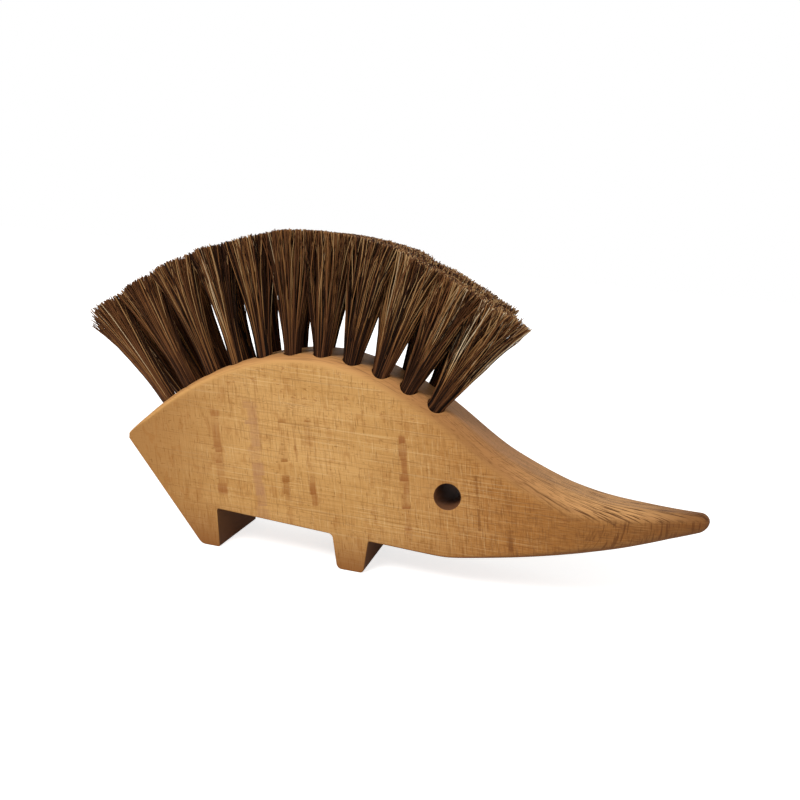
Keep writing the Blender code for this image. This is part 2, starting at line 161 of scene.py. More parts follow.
def curve_through(knots: list[Pair], at: Array) -> Array:
    """Heights on a smooth curve through knots: a cubic Hermite between each pair, whose slope at a knot is
    the mean of its two neighbours' slopes, weighted by their nearness.

    Args:
        knots: (place, height) pairs in order of place.
        at: Places to read.

    Returns:
        The height at each place.
    """
    places, heights = np.array(knots).T
    runs = np.diff(places)
    slopes = np.diff(heights) / runs
    inner = (slopes[:-1] * runs[1:] + slopes[1:] * runs[:-1]) / (runs[:-1] + runs[1:])
    tangents = np.concatenate([[2 * slopes[0] - inner[0]], inner, [2 * slopes[-1] - inner[-1]]])
    at = np.asarray(at, float)
    i = np.clip(np.searchsorted(places, at) - 1, 0, len(runs) - 1)
    t = (at - places[i]) / runs[i]
    start = (2 * t**3 - 3 * t**2 + 1) * heights[i] + (t**3 - 2 * t**2 + t) * runs[i] * tangents[i]
    end = (3 * t**2 - 2 * t**3) * heights[i + 1] + (t**3 - t**2) * runs[i] * tangents[i + 1]
    return start + end


def path_lengths(path: Array) -> Array:
    """The length travelled along a path at each of its points, from 0 at the first."""
    return np.concatenate([[0.0], np.cumsum(np.linalg.norm(np.diff(path, axis=0), axis=1))])


def along_path(path: Array, travelled: Array) -> Array:
    """Points on a path at given lengths travelled from its first point."""
    lengths = path_lengths(path)
    return np.stack([np.interp(travelled, lengths, axis) for axis in path.T], axis=1)


def rounded_path(corners: Array, radii: Array, steps: int) -> Array:
    """Rounds the inner corners of a path: each becomes an arc that touches both of its legs, swept by
    blending the two touching points about the arc's centre at equal turns.

    Args:
        corners: The path's corners, one (x, z) a row.
        radii: The radius of each corner's arc, 0 at the two ends.
        steps: Parts in each arc.

    Returns:
        The rounded path's points.
    """
    before, corner, after = corners[:-2], corners[1:-1], corners[2:]
    back = before - corner
    onward = after - corner
    back_length = np.linalg.norm(back, axis=1, keepdims=True)
    onward_length = np.linalg.norm(onward, axis=1, keepdims=True)
    back, onward = back / back_length, onward / onward_length
    half_angle = np.arccos(np.clip((back * onward).sum(1, keepdims=True), -1.0, 1.0)) / 2
    reach = radii[1:-1, None] / np.tan(half_angle)
    reach = np.minimum(reach, 0.5 * np.minimum(back_length, onward_length))
    centre = corner + unit(back + onward) * reach / np.cos(half_angle)
    start = corner + back * reach - centre
    end = corner + onward * reach - centre
    sweep = math.pi - 2 * half_angle
    share = np.linspace(0.0, 1.0, steps + 1)[None, :, None]
    turn = sweep[:, None, :] * share
    blend = start[:, None] * np.sin(sweep[:, None] - turn) + end[:, None] * np.sin(turn)
    arcs = blend / np.sin(sweep[:, None])
    points = (centre[:, None] + arcs).reshape(-1, 2)
    return np.concatenate([corners[:1], points, corners[-1:]])


def inward_normals(path: Array, turn: float) -> Array:
    """Unit normals of a path in the XZ plane.

    Args:
        path: The path's points.
        turn: 1 for normals on the path's left as X and Z are drawn, -1 for its right.

    Returns:
        One normal a row.
    """
    tangent = unit(np.gradient(path, axis=0))
    return turn * np.stack([-tangent[:, 1], tangent[:, 0]], axis=1)


def grid_faces(rows: int, columns: int) -> Array:
    """Quads of a grid whose columns close on themselves, as indices into its points row by row.

    Args:
        rows: Points along the grid.
        columns: Points around it.

    Returns:
        One quad a row.
    """
    i = np.arange(rows - 1)[:, None] * columns
    j = np.arange(columns)[None, :]
    k = (j + 1) % columns
    return np.stack([i + j, i + k, i + columns + k, i + columns + j], axis=2).reshape(-1, 4)


def mesh_from(name: str, points: Array, faces: list[list[int]], closed: bool = False) -> Mesh:
    """Puts points and faces into a new smooth-shaded mesh.

    Args:
        name: The mesh's name.
        points: One point a row.
        faces: Lists of point numbers.
        closed: Whether to merge doubled points and turn all the faces outwards.

    Returns:
        The mesh.
    """
    mesh = bpy.data.meshes.new(name)
    mesh.from_pydata(points.tolist(), [], faces)
    mesh.shade_smooth()
    if closed:
        bm = bmesh.new()
        bm.from_mesh(mesh)
        bmesh.ops.remove_doubles(bm, verts=bm.verts, dist=WELD)
        bmesh.ops.recalc_face_normals(bm, faces=bm.faces)
        bm.to_mesh(mesh)
        bm.free()
    return mesh


def add_piece(name: str, data: bpy.types.ID, material: Material | None = None) -> bpy.types.Object:
    """Links a new object at the origin.

    Args:
        name: The object's name.
        data: Its mesh, already in place, or its lamp or camera.
        material: Its material, if it has one.

    Returns:
        The object.
    """
    piece = bpy.data.objects.new(name, data)
    bpy.context.scene.collection.objects.link(piece)
    if material:
        data.materials.append(material)
    return piece


def turned_solid(profile: Array, sides: int) -> tuple[Array, list[list[int]]]:
    """Turns a profile once round the local Z axis, as radius times (cos, sin) at equal angles.

    Args:
        profile: (radius, height) pairs from one end to the other, with the first and last on the axis.
        sides: Points round the axis.

    Returns:
        The points and the faces, doubled at the axis.
    """
    angle = np.arange(sides) * 2 * math.pi / sides
    radius, height = profile[:, :1], profile[:, 1:]
    heights = np.broadcast_to(height, (len(profile), sides))
    points = np.stack([radius * np.cos(angle), radius * np.sin(angle), heights], axis=2)
    return points.reshape(-1, 3), grid_faces(len(profile), sides).tolist()


class Zone(Enum):
    """Where on the block a layer of figure shows, as the names of two masks that are multiplied."""

    ALL = ("all", "all")
    SIDE = ("side", "all")
    TRUNK = ("side", "trunk")
    PATCHES = ("side", "patches")
    UPPER = ("side", "above")
    HEAD = ("upright", "head")
    SNOUT = ("upright", "snout")
    TIP = ("upright", "tip")
    BACK = ("back", "all")
    CREST = ("crest", "snout")
    BROW = ("rounding", "towards_head")


class Course(Enum):
    """What a layer of figure runs along."""

    GRAIN = "the grain, level along the board"
    RAYS = "the rays, which lean a little from upright"
    RINGS = "rings about a knot behind the nose"


@dataclass(frozen=True)
class Figure:
    """One layer of the wood's figure: noise drawn out to a length along each axis in millimetres, cut between
    two of its values and laid over the colours below."""

    colour: str
    lengths: Triple
    low: float
    high: float
    most: float
    zone: Zone = Zone.ALL
    detail: float = 2.0
    course: Course = Course.GRAIN


@dataclass(frozen=True)
class RayBand:
    """A broad ray that the saw laid bare: a band down the side, broken into blocks. Its place from the tail,
    its width and the two heights that it runs between are in millimetres. Gaps is about the share of its
    blocks that are missing; below 0 it is more even."""

    at: float
    width: float
    colour: str
    most: float
    heights: Pair
    gaps: float = 0.0


@dataclass(frozen=True)
class Crack:
    """A fine drying crack on the front side, from one (distance from the tail, height) to another."""

    start: Pair
    end: Pair
    width: float
    colour: str = "54321A"
    most: float = 0.85


@dataclass(frozen=True)
class OiledBeech:
    """Beech cut on the quarter, planed, sanded and oiled: a golden tan woven from fine lines along the grain
    and thin rays across it, with broad rays as reddish bands, open pores like dark dashes on the back, and
    much darker end grain where the oil soaks in, with painted shade laid over it. Painted shade also darkens
    the tail, the feet, the underside, the nose and the inside of the eye, and a painted highlight lightens
    the rounded edges. Its gloss is low and even."""

    pale: str = "D0A062"
    tan: str = "C49355"
    # the rounded edges' own lighter, smoother tone, with a painted highlight where they turn up to the light
    gold: str = "E3AE69"
    amber: str = "A66C32"
    umber: str = "84542A"
    rose: str = "C08854"
    crest: str = "DCA66C"
    # painted shade for the nose, its end and the faces that turn down
    shade: str = "784A24"
    # painted shade, darker towards the tail's end and towards the table
    foot: str = "865226"
    # end grain: its own darker tone where the oil soaks in, with painted shade laid over it
    end: str = "553522"
    # painted shade inside the eye's hole
    painted_bore_shade: str = "7A5238"
    ray_lean: float = 9.6
    block_height: float = 0.0026
    knot: Pair = (0.1270, 0.0250)
    figures: tuple[Figure, ...] = (
        Figure("9C6C38", (18.0, 7.0, 0.38), 0.50, 0.74, 0.44, Zone.ALL, 3.0),
        Figure("E6C088", (24.0, 7.0, 0.34), 0.52, 0.76, 0.36, Zone.TRUNK, 3.0),
        Figure("754622", (6.0, 7.0, 0.34), 0.48, 0.66, 0.62, Zone.HEAD, 3.0),
        Figure("966534", (0.40, 12.0, 9.0), 0.50, 0.74, 0.52, Zone.SIDE, 3.0, Course.RAYS),
        Figure("E6C48C", (0.36, 12.0, 7.0), 0.52, 0.76, 0.40, Zone.TRUNK, 3.0, Course.RAYS),
        Figure("754622", (0.40, 12.0, 4.0), 0.49, 0.66, 0.62, Zone.HEAD, 3.0, Course.RAYS),
        Figure("D6A468", (7.0, 7.0, 0.34), 0.50, 0.72, 0.22, Zone.HEAD, 3.0),
        Figure("96632F", (0.60, 12.0, 8.0), 0.54, 0.68, 0.40, Zone.PATCHES, 2.0, Course.RAYS),
        Figure("A0662F", (1.90, 20.0, 3.6), 0.58, 0.68, 0.30, Zone.SIDE, 1.0, Course.RAYS),
        Figure("80501F", (0.32, 10.0, 3.0), 0.65, 0.72, 0.48, Zone.SIDE, 1.0, Course.RAYS),
        Figure("80501F", (1.80, 8.0, 0.36), 0.67, 0.74, 0.48, Zone.SIDE, 1.0),
        Figure("965B2E", (1.80, 8.0, 0.70), 0.62, 0.70, 0.50, Zone.UPPER, 2.0),
        Figure("F0CF98", (28.0, 9.0, 0.34), 0.60, 0.74, 0.25, Zone.TRUNK, 1.0),
        Figure("8A5A2A", (20.0, 9.0, 0.34), 0.60, 0.72, 0.40, Zone.SIDE, 1.0),
        Figure("5C3418", (0.70, 10.0, 6.0), 0.53, 0.62, 0.62, Zone.TIP, 1.0, Course.RINGS),
        Figure("6A4224", (4.0, 6.0, 0.32), 0.56, 0.68, 0.55, Zone.SNOUT, 1.0),
        Figure("6E4422", (5.0, 0.40, 1.20), 0.54, 0.68, 0.50, Zone.BROW, 2.0),
        Figure("85583A", (14.0, 0.40, 9.0), 0.52, 0.70, 0.48, Zone.BACK, 3.0),
    )
    pores: tuple[Figure, ...] = (
        Figure("54341C", (12.0, 0.28, 8.0), 0.58, 0.68, 0.50, Zone.BACK, 1.0),
        Figure("4C2A14", (8.0, 0.24, 8.0), 0.55, 0.62, 0.85, Zone.CREST, 1.0),
    )
    bands: tuple[RayBand, ...] = (
        RayBand(34.0, 2.8, "955A2C", 0.80, (17.0, 42.5), -0.3),
        RayBand(45.9, 4.2, "A87858", 0.66, (9.0, 45.7), -0.6),
        RayBand(54.8, 2.6, "8E5420", 0.88, (18.0, 43.0)),
        RayBand(58.4, 0.9, "8E5420", 0.60, (16.0, 41.0), 0.4),
        RayBand(62.7, 2.1, "925626", 0.88, (18.0, 43.0)),
        RayBand(67.3, 0.5, "7E5024", 0.62, (14.0, 42.0), 0.5),
        RayBand(77.3, 0.5, "7E5024", 0.60, (12.0, 44.0), 0.6),
        RayBand(83.6, 0.6, "7E5024", 0.60, (12.0, 40.0), 0.6),
        RayBand(90.1, 2.2, "8E5228", 0.85, (14.0, 42.4), -0.3),
        RayBand(110.2, 0.8, "7A4A22", 0.75, (14.0, 34.0), 0.4),
        RayBand(118.6, 2.0, "6E3E1C", 0.85, (14.0, 31.0), 0.1),
    )
    cracks: tuple[Crack, ...] = (
        Crack((0.1186, 0.0338), (0.1322, 0.0273), 0.00022),
        Crack((0.1400, 0.0268), (0.1446, 0.0250), 0.00022),
    )
    patches: Figure = Figure("", (28.0, 30.0, 20.0), 0.34, 0.60, 1.0)
    broad: Figure = Figure("", (60.0, 25.0, 14.0), 0.35, 0.65, 1.0)
    trunk: Triple = (0.42, 0.30, 0.14)  # middle, half and soft edge, as shares of the block's length
    noise_roughness: float = 0.6
    block_wander: float = 5.0  # in blocks, and so is the ripple
    block_wander_scale: float = 0.45  # waves a block
    block_ripple: float = 0.25
    block_foot: float = 0.55  # strength left at a block's foot
    block_shift: float = 0.5  # in halves of the band's width, and so are the next two and the edge's share
    block_spread: float = 0.5
    least_block: float = 0.62
    ripple_mm: float = 0.5
    ripple_scale: float = 900.0  # waves a metre
    edge_mm: float = 0.06
    edge_share: float = 0.22
    band_fade_mm: float = 0.8
    gap_ease: float = 0.15
    crack_wander_mm: float = 1.0
    crack_wander_scale: float = 170.0  # waves a metre
    roughness: float = 0.58
    ior: float = 1.5
    gloss: float = 0.11
    bore_gloss: float = 0.02
    bump_depth: float = 0.00006
    bump_strength: float = 0.6

    def drawn_out(self, add: Adder, place: Value, figure: Figure) -> Node:
        """A figure's strength at each point: noise on places divided by its lengths, eased from nothing at
        its low value to its most at the high one.

        Args:
            add: Adds a node to the tree.
            place: The places, in metres.
            figure: The layer.

        Returns:
            The strength.
        """
        scale = tuple(1.0 / (length * MM) for length in figure.lengths)
        drawn = add("Mapping", {"Vector": place, "Scale": scale})
        grain = {"Vector": drawn, "Scale": 1.0, "Detail": figure.detail, "Roughness": self.noise_roughness}
        noise = add("TexNoise", grain)
        return add("MapRange", (noise, figure.low, figure.high, 0.0, figure.most), EASED)

    def stained(self, add: Adder, below: Value, hex_colour: str, share: Value, zone: Value = 1.0) -> Value:
        """Lays a colour over another by a share, within a zone.

        Args:
            add: Adds a node to the tree.
            below: The colour below.
            hex_colour: The colour on top.
            share: How much of it shows.
            zone: How much of the zone each point is in.

        Returns:
            The mixed colour.
        """
        within = add("Math", (share, zone), TIMES)
        mix = {"Factor": within, 6: below, 7: linear(hex_colour)}
        return add("Mix", mix, {"data_type": "RGBA"}).outputs[2]

    def within(self, add: Adder, value: Value, middle: Value, half: Value, soft: float) -> Node:
        """How much a value lies within a span: 1 inside half its width from its middle, and eased to 0 over a
        soft edge.

        Args:
            add: Adds a node to the tree.
            value: The value.
            middle: The middle of the span.
            half: Half its width.
            soft: Half the width of its edge.

        Returns:
            The share.
        """
        off = add("Math", (value, middle), MINUS)
        off = add("Math", (off,), {"operation": "ABSOLUTE"})
        inside = add("Math", (half, off), MINUS)
        return add("MapRange", (inside, -soft, soft), EASED)

    def ray_bands(self, add: Adder, below: Value, rays: Value, height: Value, side: Value) -> Value:
        """Lays the broad rays over the side. Each is broken into blocks down its length, and each block draws
        its own strength, sideways shift and width, and darkens towards its foot. The blocks' heights vary by
        a noise added before they are counted, and a finer noise roughens their edges.

        Args:
            add: Adds a node to the tree.
            below: The colour below.
            rays: Places in metres, turned upright along the rays, from the tail.
            height: Heights above the table in metres.
            side: How much each point is on the flat side.

        Returns:
            The colour with the bands.
        """
        along, _, up = add("SeparateXYZ", (rays,)).outputs
        down = add("Math", (up, self.block_height), {"operation": "DIVIDE"})
        wander = {"W": down, "Scale": self.block_wander_scale, "Detail": 1.0}
        wander = add("TexNoise", wander, {"noise_dimensions": "1D"})
        ripple = add("TexNoise", {"Vector": rays, "Scale": self.ripple_scale, "Detail": 2.0})
        count = add("Math", (wander, self.block_wander, down), TIMES_PLUS)
        count = add("Math", (ripple, self.block_ripple, count), TIMES_PLUS)
        block = add("Math", (count,), {"operation": "FLOOR"})
        foot = add("Math", (count,), {"operation": "FRACT"})
        foot = add("MapRange", {"Value": foot, "To Min": 1.0, "To Max": self.block_foot})
        on_side = add("Math", (foot, side), TIMES)
        across = add("Math", (ripple, self.ripple_mm * MM, along), TIMES_PLUS)
        colour = below
        for band in self.bands:
            half = band.width / 2 * MM
            low, high = (place * MM for place in band.heights)
            cell = add("CombineXYZ", (block, band.at))
            draw = add("TexWhiteNoise", {"Vector": cell}, {"noise_dimensions": "2D"})
            red, green, blue = add("SeparateColor", (draw.outputs["Color"],)).outputs
            least = (band.at + self.ripple_mm / 2) * MM - self.block_shift / 2 * half
            middle = add("Math", (green, self.block_shift * half, least), TIMES_PLUS)
            reach = (blue, self.block_spread * half, self.least_block * half)
            reach = add("Math", reach, TIMES_PLUS)
            share = self.within(add, across, middle, reach, self.edge_mm * MM + self.edge_share * half)
            run = self.within(add, height, (low + high) / 2, (high - low) / 2, self.band_fade_mm * MM)
            strength = {"Value": red, "From Min": band.gaps - self.gap_ease, "To Max": band.most}
            strength = add("MapRange", strength, EASED)
            for factor in (run, strength):
                share = add("Math", (share, factor), TIMES)
            colour = self.stained(add, colour, band.colour, share, on_side)
        return colour

    def drying_cracks(self, add: Adder, below: Value, place: Value, front: Value) -> Value:
        """Lays the drying cracks over the front side. A crack shows where a point lies within half its width
        of the line, measured square to it after a small wander, and between the line's two ends.

        Args:
            add: Adds a node to the tree.
            below: The colour below.
            place: Places in metres from the tail.
            front: How much each point faces the front.

        Returns:
            The colour with the cracks.
        """
        waves = {"Vector": place, "Scale": self.crack_wander_scale, "Detail": 0.0}
        wander = add("TexNoise", waves)
        sway = self.crack_wander_mm * MM
        colour = below
        for crack in self.cracks:
            run = np.subtract(crack.end, crack.start)
            length = float(np.hypot(*run))
            x, z = run / length
            from_start = add("VectorMath", (place, (crack.start[0], 0.0, crack.start[1])), MINUS)
            along, across = (
                add("VectorMath", (from_start, way), {"operation": "DOT_PRODUCT"}).outputs["Value"]
                for way in ((x, 0.0, z), (-z, 0.0, x))
            )
            across = add("Math", (wander, sway, across), TIMES_PLUS)
            near = self.within(add, across, sway / 2, crack.width / 2, crack.width)
            share = self.within(add, along, length / 2, length / 2, MM)
            for factor in (near, crack.most):
                share = add("Math", (share, factor), TIMES)
            colour = self.stained(add, colour, crack.colour, share, front)
        return colour

    def build(self, tail: float, length: float, eye: Triple) -> Material:
        """Makes the material.

        Args:
            tail: World X of the tail.
            length: Length of the block.
            eye: Distance from the tail, height and radius of the eye.

        Returns:
            The material.
        """
        material, add = new_material("oiled_beech")
        origin = add("TexCoord").outputs["Object"]
        place = add("VectorMath", (origin, (tail, 0.0, 0.0)), MINUS)
        lean = (0.0, math.radians(self.ray_lean), 0.0)
        rays = add("Mapping", {"Vector": place, "Rotation": lean})
        x, y, z = add("SeparateXYZ", (place,)).outputs
        distances = []
        for at, height in (self.knot, eye[:2]):
            flat = add("VectorMath", (place, (1.0, 0.0, 1.0), (-at, 0.0, -height)), TIMES_PLUS)
            distances.append(add("VectorMath", (flat,), {"operation": "LENGTH"}).outputs["Value"])
        from_knot, from_eye = distances
        rings = add("CombineXYZ", (from_knot, y, z))
        courses = {Course.GRAIN: place, Course.RAYS: rays, Course.RINGS: rings}
        normal = add("NewGeometry").outputs["Normal"]
        _, turned_y, turned_z = add("SeparateXYZ", (normal,)).outputs
        facing = add("VectorMath", (normal,), {"operation": "ABSOLUTE"})
        facing_x, facing_y, _ = add("SeparateXYZ", (facing,)).outputs

        # What each mask follows, where it is nothing, where it is full, and how strong it then is.
        marks = {
            "side": (facing_y, 0.86, 0.985, 1.0),
            "front": (turned_y, -0.45, -0.75, 1.0),
            "rounding": (facing_y, 0.985, 0.75, 0.8),
            "back": (turned_z, 0.30, 0.85, 0.85),
            "crest": (turned_z, 0.20, 0.60, 1.0),
            # faces that turn down, for painted shade
            "under": (turned_z, -0.10, -0.75, 0.6),
            "upright": (turned_z, 0.60, 0.25, 1.0),
            "end": (facing_x, 0.78, 0.97, 0.9),
            "past_tail": (x, 0.006, 0.014, 1.0),
            "wall": (facing_y, 0.8, 0.4, 1.0),
            "tail": (x, 0.28 * length, 0.0, 0.52),
            "towards_head": (x, 0.36 * length, 0.54 * length, 1.0),
            "head": (x, 0.42 * length, 0.72 * length, 0.88),
            "snout": (x, 0.62 * length, 0.82 * length, 1.0),
            "nose": (x, 0.66 * length, 0.97 * length, 0.76),
            "tip": (x, 0.78 * length, 0.85 * length, 1.0),
            "painted_nose_end_shade": (x, 0.86 * length, length, 0.85),
            "above": (z, 0.0425, 0.0455, 1.0),
            "feet": (z, 0.017, -0.002, 0.9),
            "eye": (from_eye, eye[2] + 0.3 * MM, eye[2] + 0.1 * MM, 1.0),
        }
        masks = {
            name: add("MapRange", (value, low, high, 0.0, most), EASED)
            for name, (value, low, high, most) in marks.items()
        }
        masks["patches"] = self.drawn_out(add, place, self.patches)
        masks["trunk"] = self.within(add, x, *(part * length for part in self.trunk))
        masks["all"] = 1.0
        zones = {zone: add("Math", [masks[name] for name in zone.value], TIMES) for zone in Zone}

        colour = self.stained(add, linear(self.tan), self.pale, self.drawn_out(add, place, self.broad))
        washes = (
            (self.amber, "head", "all"),
            # Painted shade: the nose darker where it turns away from the light.
            (self.shade, "nose", "all"),
            # Painted shade: darker towards the tail's end.
            (self.foot, "tail", "all"),
            # The rounded edges: their own lighter tone, and a painted highlight.
            (self.gold, "rounding", "all"),
            (self.umber, "rounding", "towards_head"),
            (self.rose, "back", "all"),
            (self.crest, "back", "snout"),
            # More painted shade towards the nose's end.
            (self.shade, "painted_nose_end_shade", "all"),
        )
        for hex_colour, mask, zone in washes:
            colour = self.stained(add, colour, hex_colour, masks[mask], masks[zone])
        for figure in self.figures:
            strength = self.drawn_out(add, courses[figure.course], figure)
            colour = self.stained(add, colour, figure.colour, strength, zones[figure.zone])
        colour = self.ray_bands(add, colour, rays, z, masks["side"])
        # Painted shade: darker towards the table, over the feet and the lowest part of the side.
        colour = self.stained(add, colour, self.foot, masks["feet"])
        # Painted shade on the faces that turn down towards the table.
        colour = self.stained(add, colour, self.shade, masks["under"])
        depth = 0.0
        for figure in self.pores:
            strength = self.drawn_out(add, place, figure)
            strength = add("Math", (strength, zones[figure.zone]), TIMES)
            colour = self.stained(add, colour, figure.colour, strength)
            depth = add("Math", (strength, depth), {"operation": "MAXIMUM"})
        colour = self.drying_cracks(add, colour, place, masks["front"])
        # End grain: its own darker tone, with painted shade laid over it.
        colour = self.stained(add, colour, self.end, masks["end"], masks["past_tail"])
        # Painted shade inside the eye's hole, where the gloss is also turned down.
        painted_bore_shade = add("Math", (masks["eye"], masks["wall"]), TIMES)
        colour = self.stained(add, colour, self.painted_bore_shade, painted_bore_shade)

        sunk = {"Strength": self.bump_strength, "Distance": self.bump_depth, "Height": depth}
        looks = {
            "Base Color": colour,
            "Roughness": self.roughness,
            "IOR": self.ior,
            "Specular IOR Level": add("MapRange", (painted_bore_shade, 0.0, 1.0, self.gloss, self.bore_gloss)),
            "Normal": add("Bump", sunk, {"invert": True}),
        }
        add("OutputMaterial", (add("BsdfPrincipled", looks),))
        return material


@dataclass(frozen=True)
class Horsehair:
    """Coarse horsehair, sorted by hand and not dyed: each hair has its own shade, from near black through
    warm brown to gold, with a low gloss. The shade comes from the tuft's own attribute, which also carries
    painted shadow near the tufts' feet and painted light towards their tips."""

    shades: tuple[tuple[float, str], ...] = (
        (0.0, "0E0603"),
        (0.3, "361E10"),
        (0.55, "704628"),
        (0.75, "9E6E40"),
        (0.9, "C29C6C"),
        (1.0, "D6BC98"),
    )
    roughness: float = 0.5
    ior: float = 1.55
    gloss: float = 0.09
    attribute: str = "shade"

    def build(self) -> Material:
        """Makes the material."""
        material, add = new_material("horsehair")
        shade = add("Attribute", settings={"attribute_name": self.attribute}).outputs["Fac"]
        ramp = add("ValToRGB", (shade,))
        stops = ramp.color_ramp.elements
        while len(stops) < len(self.shades):
            stops.new(0.5)
        for stop, (place, colour) in zip(stops, self.shades):
            stop.position = place
            stop.color = linear(colour)
        looks = {"Base Color": ramp, "Roughness": self.roughness, "IOR": self.ior}
        looks["Specular IOR Level"] = self.gloss
        add("OutputMaterial", (add("BsdfPrincipled", looks),))
        return material


@dataclass(frozen=True)
class AnchorSteel:
    """Flattened steel wire, drawn and bright, with fine scratches along it from the die."""

    bright: str = "A8A8A6"
    dull: str = "77777A"
    roughness: float = 0.35
    scratches_mm: Triple = (0.08, 8.0, 0.08)

    def build(self) -> Material:
        """Makes the material."""
        material, add = new_material("anchor_steel")
        place = add("TexCoord").outputs["Object"]
        scale = tuple(1.0 / (length * MM) for length in self.scratches_mm)
        drawn = add("Mapping", {"Vector": place, "Scale": scale})
        noise = add("TexNoise", {"Vector": drawn, "Scale": 1.0, "Detail": 2.0})
        mix = {"Factor": noise, 6: linear(self.dull), 7: linear(self.bright)}
        colour = add("Mix", mix, {"data_type": "RGBA"}).outputs[2]
        looks = {"Base Color": colour, "Metallic": 1.0, "Roughness": self.roughness}
        add("OutputMaterial", (add("BsdfPrincipled", looks),))
        return material


@dataclass
class BeechBlock:
    """The sawn block: its side view, its thickness and its rounding. It carries the tuft holes and the eye.
    A pair is a distance and a height, but at the heel and the front foot's corners, which lie on the table,
    the second is the corner's rounding. The tail's own place is its world X."""

    tail: float
    length: float = 0.1695
    thickness: float = 0.027
    back_radii: tuple[float, ...] = (0.0012, 0.0026, 0.0036, 0.0044, 0.0072, 0.0078, 0.0078)
    saw_radius: float = 0.00045
    tail_height: float = 0.0311
    tail_flat: float = 0.0017
    tail_run: float = 0.0025  # from the tail's end to where its rounded corner has met the back's curve
    tail_join: float = 0.0003
    rump: Pair = (0.0087, 0.0402)
    shoulder: Pair = (0.0276, 0.0537)
    crown: Pair = (0.0575, 0.0614)
    neck: Pair = (0.0895, 0.0532)
    brow_from_tip: Pair = (0.0545, 0.0379)
    bridge_from_tip: Pair = (0.0300, 0.0299)
    ridge_from_tip: Pair = (0.0150, 0.0291)
    nose_top: float = 0.0296
    chin_from_tip: Pair = (0.0695, 0.0089)
    jaw_from_tip: Pair = (0.0410, 0.0139)
    gullet_from_tip: Pair = (0.0200, 0.0185)
    nose_under: float = 0.0249
    chin_radius: float = 0.0008
    nose_radius: float = 0.0036
    chin_blend: float = 0.0003
    tip_half_width: float = 0.0022
    taper: float = 0.31
    taper_blend: float = 0.002
    dome: float = 0.0024
    dome_parts: int = 9
    tail_ease: float = 0.006
    heel: Pair = (0.0255, 0.0030)
    rear_foot_end: float = 0.0315
    belly_start: Pair = (0.0299, 0.0119)
    belly_end: Pair = (0.0663, 0.0102)
    front_foot_start: Pair = (0.0686, 0.0018)
    front_foot_end: Pair = (0.0766, 0.0012)
    throat: Pair = (0.0773, 0.0099)
    throat_run: float = 0.004
    foot_root_radius: float = 0.0016
    corner_radius: float = 0.0005
    tail_corner_radius: float = 0.0007
    eye_diameter: float = 0.0076
    eye: Pair = (0.0987, 0.0269)
    eye_lip: float = 0.00015
    lip_parts: int = 5
    eye_sides: int = 72
    tail_mark: float = 0.003  # on the heel's wall, where a section starts as at the saw's corners
    section_tops: tuple[float, ...] = (0.0, 0.0035, 0.0170, 0.0219, 0.0232, 0.0636, 0.0665, 0.0756, 0.0770)
    section_turn: float = 0.025  # past the chin, where the rounding turns to stand in upright sections
    widest_rounding: float = 0.94
    step: float = 0.0007
    fillet_steps: int = 7
    band_parts: int = 14
    arc_parts: int = 8
    side_parts: int = 40
    sharp_from: float = 40.0
    margin: float = 0.002
    finish: OiledBeech = OiledBeech()

    def from_tail(self, place: Pair) -> Pair:
        """A place whose distance is given from the tip, with its distance from the tail."""
        return self.length - place[0], place[1]

    def back_height(self, x: Array) -> Array:
        """Height of the back and the top of the nose at a distance from the tail."""
        back = [(0.0, self.tail_height), self.rump, self.shoulder, self.crown, self.neck]
        nose = (self.brow_from_tip, self.bridge_from_tip, self.ridge_from_tip, (0.0, self.nose_top))
        return curve_through([*back, *map(self.from_tail, nose)], x)

    def back_radius(self, x: Array) -> Array:
        """Rounding of the back's edges, which widens towards the head. It eases from the saw's own sharp edge
        at the tail's end."""
        marks = (self.rump, self.shoulder, self.crown, self.neck, self.from_tail(self.brow_from_tip))
        places = [0.0, *(mark[0] for mark in marks), self.length]
        wide = curve_through(list(zip(places, self.back_radii)), x)
        return between((self.saw_radius, wide), smooth_step(x, 0.0, self.tail_ease))

    def under_height(self, x: Array) -> Array:
        """Height of the throat and the head's underside: the saw's straight line from the throat and the
        jaw's curve, joined by a soft maximum, the logarithm of the sum of their exponentials."""
        head = (self.chin_from_tip, self.jaw_from_tip, self.gullet_from_tip, (0.0, self.nose_under))
        chin, *_ = knots = [self.from_tail(place) for place in head]
        jaw = curve_through(knots, x)
        fall = (chin[1] - self.throat[1]) / (chin[0] - self.throat[0])
        line = chin[1] + fall * (x - chin[0])
        return self.chin_blend * np.logaddexp(line / self.chin_blend, jaw / self.chin_blend)

    def half_width(self, x: Array) -> Array:
        """Half the block's width: flat sides blended into the nose's taper by a soft minimum."""
        taper = self.tip_half_width + self.taper * (self.length - x)
        blend = self.taper_blend
        return -blend * np.logaddexp(-self.thickness / 2 / blend, -taper / blend)

    def head_places(self, start: float) -> Array:
        """Evenly spaced places from a start to the tip, drawn closer over the domed end."""
        dome_start = self.length - self.dome
        along = np.arange(start, dome_start, self.step)
        turn = np.linspace(0.0, math.pi / 2, self.dome_parts + 1)
        return np.concatenate([along, dome_start + self.dome * np.sin(turn)])

    def saw_corners(self) -> Array:
        """The lower outline's corners, from the middle of the blunt tail to a point past the throat, each
        with its rounding."""
        end = self.throat[0] + self.throat_run
        return np.array([
            (0.0, self.tail_height - self.tail_flat / 2, 0.0),
            (0.0, self.tail_height - self.tail_flat, self.corner_radius),
            (self.heel[0], 0.0, self.heel[1]),
            (self.rear_foot_end, 0.0, self.corner_radius),
            (*self.belly_start, self.corner_radius),
            (*self.belly_end, self.foot_root_radius),
            (self.front_foot_start[0], 0.0, self.front_foot_start[1]),
            (self.front_foot_end[0], 0.0, self.front_foot_end[1]),
            (*self.throat, self.corner_radius),
            (end, float(self.under_height(np.array(end))), 0.0),
        ])

